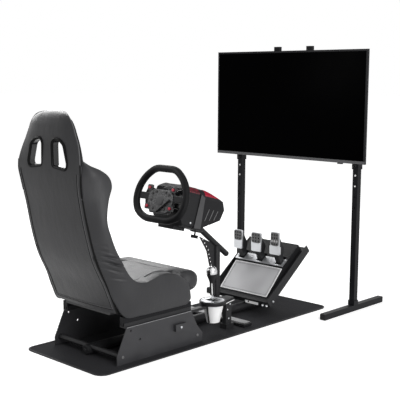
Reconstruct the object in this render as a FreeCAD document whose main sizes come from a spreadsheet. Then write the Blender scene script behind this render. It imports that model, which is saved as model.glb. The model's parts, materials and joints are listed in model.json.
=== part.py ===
import FreeCAD, Part
import Sketcher
import os
import re

# Racing seat set: bucket seat on a low steel base, wheel on a slanted arm,
# pedals on a tray, gear lever on a holder, screen on its own stand.
# +X is the driver's right, +Y runs forward to the screen, Z is up, floor at 0.

doc = FreeCAD.newDocument("racing_seat_set")
os.makedirs("parts", exist_ok=True)
dims = doc.addObject("Spreadsheet::Sheet", "dims")

SIZES = {
    # floor mat
    "mat_half_width": 257, "mat_half_length": 755, "mat_thick": 4, "mat_corner": 45,
    # side plates of the seat base
    "plate_out": 210, "plate_thick": 4, "plate_rear": -630, "plate_front": -130,
    "plate_top": 154, "plate_top_rear": -577, "plate_top_front": -200,
    "plate_knee_y": -165, "plate_knee_z": 85, "plate_toe_z": 43, "plate_heel_z": 40,
    "flange_in": 174, "plate_hole": 4.5,
    "plate_hole_a_y": -554, "plate_hole_a_z": 138, "plate_hole_b_y": -504, "plate_hole_b_z": 92,
    "clamp_out": 226, "clamp_rear": -310, "clamp_front": -243, "clamp_low": 85, "clamp_high": 115,
    # tubes
    "cross_radius": 12.5, "rear_cross_y": -600, "rear_cross_z": 36,
    "front_cross_y": -163, "front_cross_z": 38,
    "beam_radius": 22.5, "beam_rear": -622, "beam_front": 570,
    # cross foot below the post
    "foot_in": 15, "foot_out": 212, "foot_rear": 153, "foot_front": 209, "foot_top": 25,
    # post, arm and the holed gusset between them
    "post_y": 185, "post_radius": 17.5, "post_top": 366,
    "arm_radius": 14, "arm_slope": -38, "arm_length": 263, "arm_top_y": 54.9, "arm_top_z": 472.8,
    "arm_nose": 12, "arm_end_round": 10,
    "gusset_half": 3, "gusset_hole": 5, "gusset_low_z": 262, "gusset_low_y": 140,
    "gusset_tip_y": 64, "gusset_tip_z": 426, "gusset_mid_y": 115, "gusset_mid_z": 350,
    "hole_high_y": 88.4, "hole_high_z": 409.3, "hole_high_step": 12.8, "hole_drop": 19,
    "hole_low_y": 132, "hole_low_z": 331, "hole_low_step": 5.4,
    # seat rails
    "rail_in": 176, "rail_width": 28, "rail_low_height": 18, "rail_wall": 3,
    "rail_rear": -585, "rail_front": -197, "rail_web_in": 8, "rail_top": 197, "rail_gap": 0.8,
    # seat back: side line of its rear face from the foot to the crown
    "back_a_y": -623, "back_a_z": 220, "back_b_y": -668, "back_b_z": 330,
    "back_c_y": -724, "back_c_z": 445, "back_d_y": -752, "back_d_z": 540,
    "back_e_y": -778, "back_e_z": 660, "back_f_y": -798, "back_f_z": 755,
    "back_g_y": -802, "back_g_z": 836, "back_h_y": -797, "back_h_z": 950,
    "back_i_y": -792, "back_i_z": 1010, "back_j_y": -784, "back_j_z": 1038,
    "shell_thick": 24, "back_thick": 45, "soft_gap": 0.3,
    # front outline of the shell, half widths at their heights
    "shell_foot": 200, "shell_waist": 190, "shell_waist_z": 650, "shell_wide": 204,
    "shell_wide_z": 790, "shell_shoulder_rise": 30, "shell_neck": 189, "shell_neck_rise": 97,
    "shell_ear": 151, "shell_ear_z": 955, "shell_brow": 122, "shell_brow_z": 1000,
    "shell_crown": 70, "shell_room": 260,
    # front outline of the pad on the shell
    "pad_half": 150, "pad_shoulder_z": 782, "pad_neck": 125, "pad_neck_z": 808,
    # belt slots
    "slot_in": 42, "slot_low": 824, "slot_out": 121, "slot_drop": 6, "slot_wide": 103, "slot_mid": 82,
    "slot_peak": 56, "slot_high": 102, "slot_side": 90,
    # wings: their front line from the shoulder down to the thigh bolster
    "wing_in": 150.3, "wing_root": 200, "wing_out": 245, "wing_taper": 22,
    "wing_a_y": -730, "wing_a_z": 807, "wing_b_y": -696, "wing_b_z": 787,
    "wing_c_y": -684, "wing_c_z": 764, "wing_d_y": -690, "wing_d_z": 728,
    "wing_e_y": -706, "wing_e_z": 604, "wing_f_y": -693, "wing_f_z": 538,
    "wing_g_y": -675, "wing_g_z": 500, "wing_h_y": -617, "wing_h_z": 413,
    # cushion and thigh bolsters
    "cushion_half": 164.7, "cushion_front": -192, "cushion_top": 330, "cushion_nose": 262,
    "cushion_foot": -230, "cushion_brow": 300, "cushion_crest": -300,
    "bolster_in": 165, "bolster_out": 250, "soft_edge": 14,
    "thigh_b_y": -248, "thigh_c_y": -238, "thigh_c_z": 252, "thigh_d_y": -195, "thigh_d_z": 262,
    "thigh_e_y": -189, "thigh_e_z": 307, "thigh_f_y": -240, "thigh_f_z": 335,
    "thigh_g_y": -373, "thigh_g_z": 356, "thigh_h_y": -573, "thigh_h_z": 352,
    # wheel group: local Y runs down the column, local Z up across it
    "wheel_y": -198, "wheel_z": 644, "wheel_tilt": -15, "axis_z": -8,
    "rim_y": 14, "rim_z": 11, "rim_section": 33, "rim_corner": 60, "rim_round": 15.5,
    "rim_top_x": 70, "rim_top_z": 133, "rim_brow_x": 131, "rim_brow_z": 90,
    "rim_side_x": 170, "rim_side_z": 30, "rim_wide_x": 177, "rim_wide_z": -40,
    "rim_foot_x": 149, "rim_foot_z": -100, "rim_base_x": 83, "rim_base_z": -133,
    "hub_front": 18, "hub_thick": 8, "spoke_tip": 157, "spoke_low": -20, "spoke_high": 12,
    "hub_half": 83, "hub_side_low": -50, "hub_chin": 60, "hub_low": -77, "hub_brow": 62, "hub_high": 33,
    "shaft_radius": 27, "shaft_end": 59.5,
    # motor housing
    "house_half": 90, "house_front": 60, "house_top": 70, "house_floor": -112,
    "house_crown_round": 40, "house_foot_round": 12, "house_room": 200,
    "house_chin": -60, "house_foot": 90, "house_heel": 170, "house_belly_y": 268, "house_belly_z": -82,
    "house_tail_y": 333, "house_tail_z": -52, "house_rear": 349, "house_rear_z": 0,
    "house_back_y": 330, "house_back_z": 36, "house_crest": 215, "house_brow": 78, "house_brow_z": 52,
    "strap_thick": 4, "strap_rear_y": 173, "strap_rear_z": 47, "strap_front_y": 202, "strap_front_z": 35,
    "strap_foot_rear": 162, "strap_foot_front": 208,
    # tilting deck and its clamp
    "deck_half": 70, "deck_front": 90, "deck_rear": 262, "deck_thick": 6,
    "pivot_y": 288.7, "pivot_z": -99.7, "cheek_in": 16, "cheek_thick": 4, "pin_radius": 5,
    "cheek_root": 205, "cheek_low": -122, "cheek_end": 303, "cheek_high": -87,
    "lug_end": 290, "lug_thick": 4,
    "knob_y": 276, "knob_half": 18, "knob_deep": 6, "knob_high": 15, "knob_hub": 9, "stem_radius": 4,
    "stem_long": 14,
    # pedal group: origin at the low front edge of the tray, local Y runs up the tray
    "tray_y": 358, "tray_z": 77, "tray_slope": 37.6,
    "tray_half": 190, "tray_long": 390, "tray_sheet": 3, "tray_flange": 20, "tray_skirt": 22,
    "tray_lip": 8, "strip_in": 35, "strip_out": 119, "strip_thick": 2, "strip_low": -20, "strip_high": -4,
    "pedal_half": 158, "heel_low_y": 34, "heel_high_y": 206, "heel_low_z": 2, "heel_high_z": 27,
    "heel_thick": 3, "heel_half": 154, "ledge_y": 212, "ledge_z": 38, "ledge_thick": 4,
    "ledge_rear": 258, "box_rear": 370, "slot_front": 219, "slot_rear": 276, "slot_floor": 8,
    "slot_half": 20, "pedal_pin_y": 238, "pedal_pin_z": 26, "pedal_pin_radius": 4, "pin_gap": 0.3,
    "support_half": 15, "support_rear": 410, "support_front": 570,
    "support_rear_z": 112, "support_front_z": 235,
    # pedals: side line of an arm about its pin, then the faces
    "pedal_spread": 122, "pedal_pin_world_y": 530.6, "pedal_pin_world_z": 242.8, "pedal_arm_half": 15,
    "heel_tip_y": -10, "heel_tip_z": -8, "toe_tip_y": 8, "toe_y": 10, "toe_z": 6,
    "knee_y": 0, "knee_z": 45, "shin_y": 10, "shin_z": 75, "arm_tip_y": -30, "arm_tip_z": 142,
    "calf_y": -24, "calf_z": 20,
    "face_rear": -42, "face_thick": 8, "face_low": 54, "face_mid": 96, "face_high": 151, "face_corner": 7,
    "clutch_half": 28, "brake_half": 32, "throttle_half": 33, "throttle_top_half": 27, "throttle_high": 168,
    # gear lever
    "shift_x": 149, "shift_y": 5, "head_low": 139, "head_top": 153, "gate_thick": 4,
    "head_radius": 62, "head_bore": 31, "gate_radius": 54, "gate_shift": -4,
    "tongue_root": 46, "tongue_root_y": 25, "tongue_half": 22, "tongue_end": 118,
    "cup_low": 53, "cup_low_radius": 30, "cup_top_radius": 49, "cup_wall": 5, "cup_floor": 6,
    "lever_pivot": 88, "lever_lean": 3.5, "lever_radius": 4, "ball_radius": 6, "ball_gap": 0.4,
    "trunnion_reach": 31.2, "trunnion_radius": 3, "cross_pin_reach": 10,
    "gate_throw": 15, "gate_lane": 14.2, "gate_clear": 2.2,
    "grip_low": 93, "grip_collar": 155, "grip_mid": 192, "grip_cheek": 206, "grip_cheek_radius": 26.8,
    "grip_brow": 222, "grip_brow_radius": 17, "grip_top": 229, "grip_radius": 25.5, "grip_neck": 11.5,
    "grip_crown": 8,
    "column_half": 12, "column_rear": 80, "column_front": 118,
    "block_half": 20, "block_rear": 74, "block_front": 126, "block_high": 24,
    "bar_half": 12, "bar_thick": 12, "bar_rear": -176, "bar_foot": -150, "bar_end": -50,
    # screen and stand
    "screen_half": 485, "screen_low": 759, "screen_top": 1313, "screen_front": 710,
    "screen_edge": 12, "screen_thick": 40, "screen_inset": 70, "bezel": 9, "bezel_low": 15,
    "glass_recess": 2, "nub_in": 325, "nub_out": 352, "nub_deep": 6,
    "stand_x": 383, "stand_y": 800, "tube": 30, "stand_rear": 539, "stand_front": 1055,
    "upright_top": 1000, "leg_hole": 5, "leg_hole_z": 693, "leg_hole_step": 54,
    "sleeve": 37, "sleeve_bore": 31.2, "sleeve_low": 724, "sleeve_top": 1150,
    "collar_high": 25, "beam_low": 1000, "beam_high": 1060, "beam_near": 770, "beam_far": 800,
    "screen_rail_x": 105, "screen_rail_width": 35, "screen_rail_low": 800, "screen_rail_top": 1336,
}

for row, (alias, size) in enumerate(SIZES.items(), start=1):
    dims.set("A%d" % row, alias)
    dims.set("B%d" % row, str(size))
    dims.setAlias("B%d" % row, alias)
doc.recompute()

WORD = re.compile(r"[a-z_]+[a-z_0-9]*")
TERM = re.compile(r"([+-]?)\s*(?:(\d+(?:\.\d+)?)\s*\*\s*)?([a-z_]\w*|\d+(?:\.\d+)?)(?:\s*/\s*(\d+))?")


def bound(text):
    """Expression text with every named size pointed at the sheet."""
    return WORD.sub(lambda found: "dims." + found.group(0), str(text))


def number(text):
    """Present value of a sum of named sizes and plain numbers."""
    total = 0.0
    for sign, factor, word, divisor in TERM.findall(str(text)):
        size = SIZES[word] if word in SIZES else float(word)
        size = size * float(factor or 1) / float(divisor or 1)
        total += -size if sign == "-" else size
    return total


def negated(text):
    """The same sum with every sign turned, for the left side."""
    terms = []
    for sign, factor, word, divisor in TERM.findall(text):
        turned = "+ " if sign == "-" else "- "
        term = (factor + " * " if factor else "") + word + (" / " + divisor if divisor else "")
        terms.append(turned + term)
    return " ".join(terms).lstrip("+ ")


def limits(side, inner, outer):
    """Limits along X of a piece between two sizes on one side, low one first."""
    return (inner, outer) if side == "right" else (negated(outer), negated(inner))


def both_sides(half):
    """A closed outline from its right half, listed from the top down."""
    return half + [(negated(across), up) for across, up in reversed(half)]


def new_body(label, group=None):
    """A body under its node name, set in one of the leaning groups if given."""
    body = doc.addObject("PartDesign::Body", label)
    body.Label = label
    if group:
        place(body, *group)
    return body


def place(thing, across, along, up, lean=None):
    """Bind the thing's position, and its turn about X, to the sheet."""
    turn = FreeCAD.Rotation(FreeCAD.Vector(1, 0, 0), number(lean) if lean else 0)
    spot = FreeCAD.Vector(number(across), number(along), number(up))
    thing.Placement = FreeCAD.Placement(spot, turn)
    for axis, text in (("x", across), ("y", along), ("z", up)):
        thing.setExpression("Placement.Base." + axis, bound(text))
    if lean:
        thing.setExpression("Placement.Rotation.Angle", bound(lean))


def new_sketch(body, plane, height):
    """An empty sketch on one of the body's planes, moved out along its normal."""
    sketch = body.newObject("Sketcher::SketchObject", body.Label + "_sketch")
    origin = [f for f in body.Origin.OriginFeatures if f.Role == plane][0]
    sketch.AttachmentSupport = [(origin, "")]
    sketch.MapMode = "FlatFace"
    sketch.setExpression("AttachmentOffset.Base.z", bound(height))
    sketch.Visibility = False
    return sketch


def pin_point(sketch, edge, point, spot):
    """Tie one sketch point to two named sizes."""
    for kind, text in (("DistanceX", spot[0]), ("DistanceY", spot[1])):
        index = sketch.addConstraint(Sketcher.Constraint(kind, -1, 1, edge, point, number(text)))
        sketch.setExpression("Constraints[%d]" % index, bound(text))


def draw_outline(sketch, corners):
    """A closed outline of straight edges through the named corners."""
    spots = [FreeCAD.Vector(number(u), number(v), 0) for u, v in corners]
    first = None
    for index, spot in enumerate(spots):
        edge = sketch.addGeometry(Part.LineSegment(spot, spots[(index + 1) % len(spots)]))
        first = edge if first is None else first
        if index:
            sketch.addConstraint(Sketcher.Constraint("Coincident", edge - 1, 2, edge, 1))
    sketch.addConstraint(Sketcher.Constraint("Coincident", edge, 2, first, 1))
    for index, corner in enumerate(corners):
        pin_point(sketch, first + index, 1, corner)


def draw_ring(sketch, across, up, radius):
    """A circle with its centre and radius tied to the sheet."""
    centre = FreeCAD.Vector(number(across), number(up), 0)
    edge = sketch.addGeometry(Part.Circle(centre, FreeCAD.Vector(0, 0, 1), number(radius)))
    pin_point(sketch, edge, 3, (across, up))
    index = sketch.addConstraint(Sketcher.Constraint("Radius", edge, number(radius)))
    sketch.setExpression("Constraints[%d]" % index, bound(radius))


def prism(body, plane, low, high, *outlines, rings=(), cut=False):
    """Pad or pocket a profile between two heights along the plane's axis.

    The XZ plane faces backwards, so its heights are counted from the far side.
    """
    starts_high = (plane == "XZ_Plane") != cut
    start = high if starts_high else low
    sketch = new_sketch(body, plane, "-1 * (%s)" % start if plane == "XZ_Plane" else start)
    for outline in outlines:
        draw_outline(sketch, outline)
    for ring in rings:
        draw_ring(sketch, *ring)
    kind = "Pocket" if cut else "Pad"
    feature = body.newObject("PartDesign::" + kind, body.Label + "_" + kind.lower())
    feature.Profile = sketch
    feature.setExpression("Length", bound("(%s) - (%s)" % (high, low)))
    doc.recompute()
    return feature


def taper(body, near, near_outline, far, far_outline):
    """Run straight across X from one outline to another of as many corners."""
    first = new_sketch(body, "YZ_Plane", near)
    draw_outline(first, near_outline)
    last = new_sketch(body, "YZ_Plane", far)
    draw_outline(last, far_outline)
    feature = body.newObject("PartDesign::AdditiveLoft", body.Label + "_taper")
    feature.Profile = first
    feature.Sections = [last]
    feature.Ruled = True
    doc.recompute()


def spin(body, outline):
    """Turn a half outline (radius, height) about the body's upright axis."""
    sketch = new_sketch(body, "XZ_Plane", "0")
    draw_outline(sketch, outline)
    feature = body.newObject("PartDesign::Revolution", body.Label + "_turned")
    feature.Profile = sketch
    feature.ReferenceAxis = (sketch, ["V_Axis"])
    feature.Angle = 360
    doc.recompute()


def soften(body, radius, wanted):
    """Round the edges of the last feature that the test picks."""
    base = body.Tip
    names = ["Edge%d" % (i + 1) for i, edge in enumerate(base.Shape.Edges) if wanted(edge)]
    feature = body.newObject("PartDesign::Fillet", body.Label + "_round")
    feature.Base = (base, names)
    feature.setExpression("Radius", bound(radius))
    doc.recompute()


def combine(body, tool, kind):
    """Cut a whole tool body from a node, or fuse it on."""
    joint = body.newObject("PartDesign::Boolean", body.Label + "_" + kind.lower())
    joint.setObjects([tool])
    joint.Type = kind
    doc.recompute()


def rect(left, right, low, high):
    """Corners of a rectangle from its four limits."""
    return [(left, low), (right, low), (right, high), (left, high)]


def inset(corners, size):
    """The outline moved inwards by a named size, corner by corner."""
    spots = [FreeCAD.Vector(number(u), number(v), 0) for u, v in corners]
    moved = []
    for index, (u, v) in enumerate(corners):
        before = (spots[index] - spots[index - 1]).normalize()
        after = (spots[(index + 1) % len(spots)] - spots[index]).normalize()
        share = 1 + before.dot(after)
        side_u = (before.y + after.y) / share
        side_v = -(before.x + after.x) / share
        moved.append(("%s %s %.5f * %s" % (u, "-+"[side_u > 0], abs(side_u), size),
                      "%s %s %.5f * %s" % (v, "-+"[side_v > 0], abs(side_v), size)))
    return moved


def runs_along(axis, where=None):
    """Edge test: straight edges along one axis of the body, at the picked places."""
    def test(edge):
        ends = [v.Point for v in edge.Vertexes]
        if len(ends) != 2:
            return False
        step = ends[1] - ends[0]
        straight = abs(abs(getattr(step, axis)) - step.Length) < 1e-6 * max(step.Length, 1)
        return straight and (where is None or where(ends[0]))
    return test


def in_plane(axis, heights):
    """Edge test: edges that lie whole at one of the given heights along an axis."""
    def test(edge):
        box = edge.BoundBox
        low = getattr(box, axis.upper() + "Min")
        high = getattr(box, axis.upper() + "Max")
        return any(abs(low - h) < 1e-4 and abs(high - h) < 1e-4 for h in heights)
    return test


SIDES = ("left", "right")
WHEEL = ("0", "wheel_y", "wheel_z", "wheel_tilt")
TRAY = ("0", "tray_y", "tray_z", "tray_slope")
ARM = ("0", "arm_top_y", "arm_top_z", "arm_slope")
SHIFT = ("shift_x", "shift_y", "0")
LEVER = ("shift_x", "shift_y", "lever_pivot", "lever_lean")
BEAM_MID = "mat_thick + beam_radius"
BEAM_RING = ("0", BEAM_MID, "beam_radius")


def make_mat():
    """Thin floor mat with round corners; its underside is the floor."""
    body = new_body("floor_mat")
    prism(body, "XY_Plane", "0", "mat_thick",
          rect("-mat_half_width", "mat_half_width", "-mat_half_length", "mat_half_length"))
    soften(body, "mat_corner", runs_along("z"))


def make_base():
    """Two bent side plates, two cross tubes and the long beam on the mat."""
    for side in SIDES:
        body = new_body(side + "_side_plate")
        low, high = limits(side, "plate_out - plate_thick", "plate_out")
        prism(body, "YZ_Plane", low, high, [
            ("plate_rear", "mat_thick"), ("plate_front", "mat_thick"),
            ("plate_front", "plate_toe_z"), ("plate_knee_y", "plate_knee_z"),
            ("plate_top_front", "plate_top"), ("plate_top_rear", "plate_top"),
            ("plate_rear", "plate_heel_z")])
        prism(body, "YZ_Plane", low, high, cut=True, rings=[
            ("plate_hole_a_y", "plate_hole_a_z", "plate_hole"),
            ("plate_hole_b_y", "plate_hole_b_z", "plate_hole")])
        low, high = limits(side, "flange_in", "plate_out")
        prism(body, "YZ_Plane", low, high,
              rect("plate_top_rear", "plate_top_front", "plate_top - plate_thick", "plate_top"))
    body = new_body("side_clamp")
    prism(body, "YZ_Plane", "plate_out", "clamp_out",
          rect("clamp_rear", "clamp_front", "clamp_low", "clamp_high"))
    crossings = []
    for end in ("rear", "front"):
        crossings.append((end + "_cross_y", end + "_cross_z", "cross_radius"))
        body = new_body(end + "_cross_tube")
        prism(body, "YZ_Plane", "plate_thick - plate_out", "plate_out - plate_thick", rings=crossings[-1:])
    body = new_body("centre_beam")
    prism(body, "XZ_Plane", "beam_rear", "beam_front", rings=[BEAM_RING])
    prism(body, "YZ_Plane", "-1.2 * beam_radius", "1.2 * beam_radius", cut=True, rings=crossings)


def make_wheel_stand():
    """Cross foot, round post, slanted arm and the holed gusset between them."""
    for side in SIDES:
        body = new_body(side + "_cross_foot")
        low, high = limits(side, "foot_in", "foot_out")
        prism(body, "YZ_Plane", low, high, rect("foot_rear", "foot_front", "mat_thick", "foot_top"))
        prism(body, "XZ_Plane", "foot_rear", "foot_front", cut=True, rings=[BEAM_RING])
    body = new_body("wheel_post")
    post = [("0", "post_y", "post_radius")]
    prism(body, "XY_Plane", BEAM_MID, "post_top", rings=post)
    prism(body, "XZ_Plane", "post_y - 2 * post_radius", "post_y + 2 * post_radius", cut=True,
          rings=[BEAM_RING])
    trim_below_arm(body)
    body = new_body("wheel_arm", ARM)
    prism(body, "XZ_Plane", "-arm_nose", "arm_length", rings=[("0", "0", "arm_radius")])
    prism(body, "YZ_Plane", "-arm_radius", "arm_radius", cut=True,
          rings=[("0", "0", "pin_radius + pin_gap")])
    soften(body, "arm_end_round", in_plane("y", [number("arm_length")]))
    body = new_body("post_gusset")
    prism(body, "YZ_Plane", "-gusset_half", "gusset_half",
          [("gusset_tip_y", "gusset_tip_z"), ("gusset_mid_y", "gusset_mid_z"),
           ("gusset_low_y", "gusset_low_z"), ("post_y", "gusset_low_z"), ("post_y", "post_top")])
    holes = []
    for run in ("hole_high", "hole_low"):
        for step in range(4):
            holes.append(("%s_y + %d * %s_step" % (run, step, run),
                          "%s_z - %d * hole_drop" % (run, step), "gusset_hole"))
    prism(body, "YZ_Plane", "-gusset_half", "gusset_half", cut=True, rings=holes)
    prism(body, "XY_Plane", "gusset_low_z", "post_top", cut=True, rings=post)
    trim_below_arm(body)


def trim_below_arm(body):
    """Cut a piece away along the underside of the slanted arm."""
    arm = new_body(body.Label + "_trim", ARM)
    prism(arm, "XZ_Plane", "-2 * arm_nose", "arm_length", rings=[("0", "0", "arm_radius")])
    combine(body, arm, "Cut")


def make_rails():
    """Fixed channel rails and the sliding rails that run in them."""
    low = "plate_top"
    lip = "plate_top + rail_low_height"
    foot = low + " + rail_wall + rail_gap"
    step = lip + " + rail_gap"
    for side in SIDES:
        inner, outer = limits(side, "rail_in", "rail_in + rail_width")
        body = new_body(side + "_lower_rail")
        prism(body, "XZ_Plane", "rail_rear", "rail_front", [
            (inner, low), (outer, low), (outer, lip), (outer + " - rail_wall", lip),
            (outer + " - rail_wall", low + " + rail_wall"), (inner + " + rail_wall", low + " + rail_wall"),
            (inner + " + rail_wall", lip), (inner, lip)])
        body = new_body(side + "_upper_rail")
        prism(body, "XZ_Plane", "rail_rear", "rail_front", [
            (inner + " + rail_web_in", foot), (outer + " - rail_web_in", foot),
            (outer + " - rail_web_in", step), (outer, step), (outer, "rail_top"),
            (inner, "rail_top"), (inner, step), (inner + " + rail_web_in", step)])


def back_line(letters, depth):
    """Side line of the seat back, so far in front of its rear face."""
    return [("back_%s_y + %s" % (k, depth), "back_%s_z" % k) for k in letters]


def curved_panel(body, letters, rear, front, half):
    """A panel that follows the seat back's side line, cut to a front outline."""
    side_line = back_line(letters, rear) + back_line(letters[::-1], front)
    prism(body, "YZ_Plane", "-shell_room", "shell_room", side_line)
    room = rect("-2 * shell_room", "2 * shell_room", "0", "back_j_z + shell_room")
    prism(body, "XZ_Plane", "back_g_y - shell_room", "back_a_y + shell_room", room,
          both_sides(half), cut=True)


def make_seat_back():
    """Curved shell with its pad and the two belt slots."""
    body = new_body("seat_back")
    curved_panel(body, "abcdefghij", "0", "shell_thick", [
        ("shell_crown", "back_j_z"), ("shell_brow", "shell_brow_z"), ("shell_ear", "shell_ear_z"),
        ("shell_neck", "shell_wide_z + shell_neck_rise"),
        ("shell_wide", "shell_wide_z + shell_shoulder_rise"), ("shell_wide", "shell_wide_z"),
        ("shell_waist", "shell_waist_z"), ("shell_foot", "back_a_z")])
    pad = new_body("seat_back_pad_trim")
    curved_panel(pad, "abcdefg", "shell_thick", "back_thick", [
        ("pad_neck", "pad_neck_z"), ("pad_half", "pad_shoulder_z"), ("pad_half", "back_a_z")])
    combine(body, pad, "Fuse")
    slot = [("slot_in", "slot_low"), ("slot_out", "slot_low - slot_drop"),
            ("slot_wide", "slot_low + slot_mid"), ("slot_peak", "slot_low + slot_high"),
            ("slot_in", "slot_low + slot_side")]
    other = [(negated(across), up) for across, up in slot]
    prism(body, "XZ_Plane", "back_g_y - shell_room", "back_a_y", slot, other, cut=True)


def make_seat():
    """Seat back, its two wings, the cushion and the thigh bolsters."""
    make_seat_back()
    front = [("wing_%s_y" % k, "wing_%s_z" % k) for k in "abcdefgh"]
    front.append(("thigh_h_y", "thigh_h_z + soft_gap"))
    for side in SIDES:
        body = new_body(side + "_back_bolster")
        rear = [(y, z + (" + soft_gap" if z == "back_b_z" else ""))
                for y, z in back_line("bcdefg", "shell_thick + soft_gap")]
        thin = rear[:1] + [(y + " + wing_taper", z) for y, z in rear[1:]]
        low, high = limits(side, "wing_in", "wing_root")
        prism(body, "YZ_Plane", low, high, front + rear)
        near, far = (high, "wing_out") if side == "right" else (low, "-wing_out")
        taper(body, near, front + rear, far, front + thin)
        body = new_body(side + "_thigh_bolster")
        low, high = limits(side, "bolster_in", "bolster_out")
        heel = back_line("ba", "shell_thick + soft_gap")
        prism(body, "YZ_Plane", low, high, [
            (heel[1][0], "rail_top"), ("thigh_b_y", "rail_top"), ("thigh_c_y", "thigh_c_z"),
            ("thigh_d_y", "thigh_d_z"), ("thigh_e_y", "thigh_e_z"), ("thigh_f_y", "thigh_f_z"),
            ("thigh_g_y", "thigh_g_z"), ("thigh_h_y", "thigh_h_z")] + heel)
        soften(body, "soft_edge", in_plane("x", [number(high if side == "right" else low)]))
    body = new_body("seat_cushion")
    heel = back_line("ba", "back_thick + soft_gap")
    prism(body, "YZ_Plane", "-cushion_half", "cushion_half", [
        (heel[1][0], "rail_top"), ("cushion_foot", "rail_top"), ("cushion_front", "cushion_nose"),
        ("cushion_front", "cushion_brow"), ("cushion_crest", "cushion_top")] + heel)


def shape_rim(body):
    """Rim with a narrow flat top, wide low sides and a round section."""
    low = "rim_y - rim_section / 2"
    high = "rim_y + rim_section / 2"
    names = ("top", "brow", "side", "wide", "foot", "base")
    outer = both_sides([("rim_%s_x" % k, "rim_z + rim_%s_z" % k) for k in names])
    prism(body, "XZ_Plane", low, high, outer)
    soften(body, "rim_corner", runs_along("y"))
    hole = new_body(body.Label + "_hole_trim")
    prism(hole, "XZ_Plane", low, high, inset(outer, "rim_section"))
    soften(hole, "rim_corner - rim_section", runs_along("y"))
    combine(body, hole, "Cut")
    soften(body, "rim_round", in_plane("y", [number(low), number(high)]))


def make_wheel():
    """Rim, hub plate with its two spokes and the short shaft."""
    shape_rim(new_body("wheel_rim", WHEEL))
    body = new_body("hub_plate", WHEEL)
    rear = "hub_front + hub_thick"
    prism(body, "XZ_Plane", "hub_front", rear, both_sides([
        ("hub_brow", "hub_high"), ("hub_half", "spoke_high"), ("spoke_tip", "spoke_high"),
        ("spoke_tip", "spoke_low"), ("hub_half", "spoke_low"), ("hub_half", "hub_side_low"),
        ("hub_chin", "hub_low")]))
    rim = new_body("hub_plate_trim")
    shape_rim(rim)
    combine(body, rim, "Cut")
    body = new_body("wheel_shaft", WHEEL)
    prism(body, "XZ_Plane", rear, "shaft_end", rings=[("0", "axis_z", "shaft_radius")])


def make_wheel_base():
    """Motor housing with its side straps, on the tilting deck with the clamp knob."""
    body = new_body("base_housing", WHEEL)
    prism(body, "XZ_Plane", "house_front", "house_rear",
          rect("-house_half", "house_half", "house_floor", "house_top"))
    soften(body, "house_crown_round", runs_along("y", lambda spot: spot.z > 0))
    soften(body, "house_foot_round", runs_along("y", lambda spot: spot.z < number("house_chin")))
    prism(body, "YZ_Plane", "-house_room", "house_room",
          rect("-house_room", "2 * house_room + house_half", "-house_room", "house_room"), [
              ("house_front", "house_chin"), ("house_foot", "house_floor"), ("house_heel", "house_floor"),
              ("house_belly_y", "house_belly_z"), ("house_tail_y", "house_tail_z"),
              ("house_rear", "house_rear_z"), ("house_back_y", "house_back_z"),
              ("house_crest", "house_top"), ("house_brow", "house_top"),
              ("house_front", "house_brow_z")], cut=True)
    for side in SIDES:
        low, high = limits(side, "house_half - house_crown_round", "house_half + strap_thick")
        prism(body, "YZ_Plane", low, high, [
            ("strap_foot_rear", "house_floor"), ("strap_foot_front", "house_floor"),
            ("strap_front_y", "strap_front_z"), ("strap_rear_y", "strap_rear_z")])
    body = new_body("wheel_deck", WHEEL)
    under = "house_floor - deck_thick"
    prism(body, "XY_Plane", under, "house_floor",
          rect("-deck_half", "deck_half", "deck_front", "deck_rear"))
    for side in SIDES:
        low, high = limits(side, "cheek_in", "cheek_in + cheek_thick")
        prism(body, "YZ_Plane", low, high, [
            ("cheek_root", under), ("deck_rear", "cheek_low"),
            ("cheek_end", "cheek_low"), ("cheek_end", "cheek_high"),
            ("deck_rear", "cheek_high"), ("cheek_root", "house_floor")])
    prism(body, "YZ_Plane", "-cheek_in - cheek_thick", "cheek_in + cheek_thick",
          rect("deck_rear", "lug_end", "cheek_low - lug_thick", "cheek_low"))
    prism(body, "YZ_Plane", "-cheek_in - cheek_thick", "cheek_in + cheek_thick",
          rings=[("pivot_y", "pivot_z", "pin_radius")])
    body = new_body("deck_knob", WHEEL)
    top = "cheek_low - lug_thick"
    prism(body, "XY_Plane", top + " - stem_long", top, rings=[("0", "knob_y", "stem_radius")])
    prism(body, "XY_Plane", top + " - stem_long - knob_high", top + " - stem_long",
          rings=[("0", "knob_y", "knob_hub")])
    prism(body, "XY_Plane", top + " - stem_long - knob_high", top + " - stem_long",
          rect("-knob_half", "knob_half", "knob_y - knob_deep", "knob_y + knob_deep"))


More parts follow.
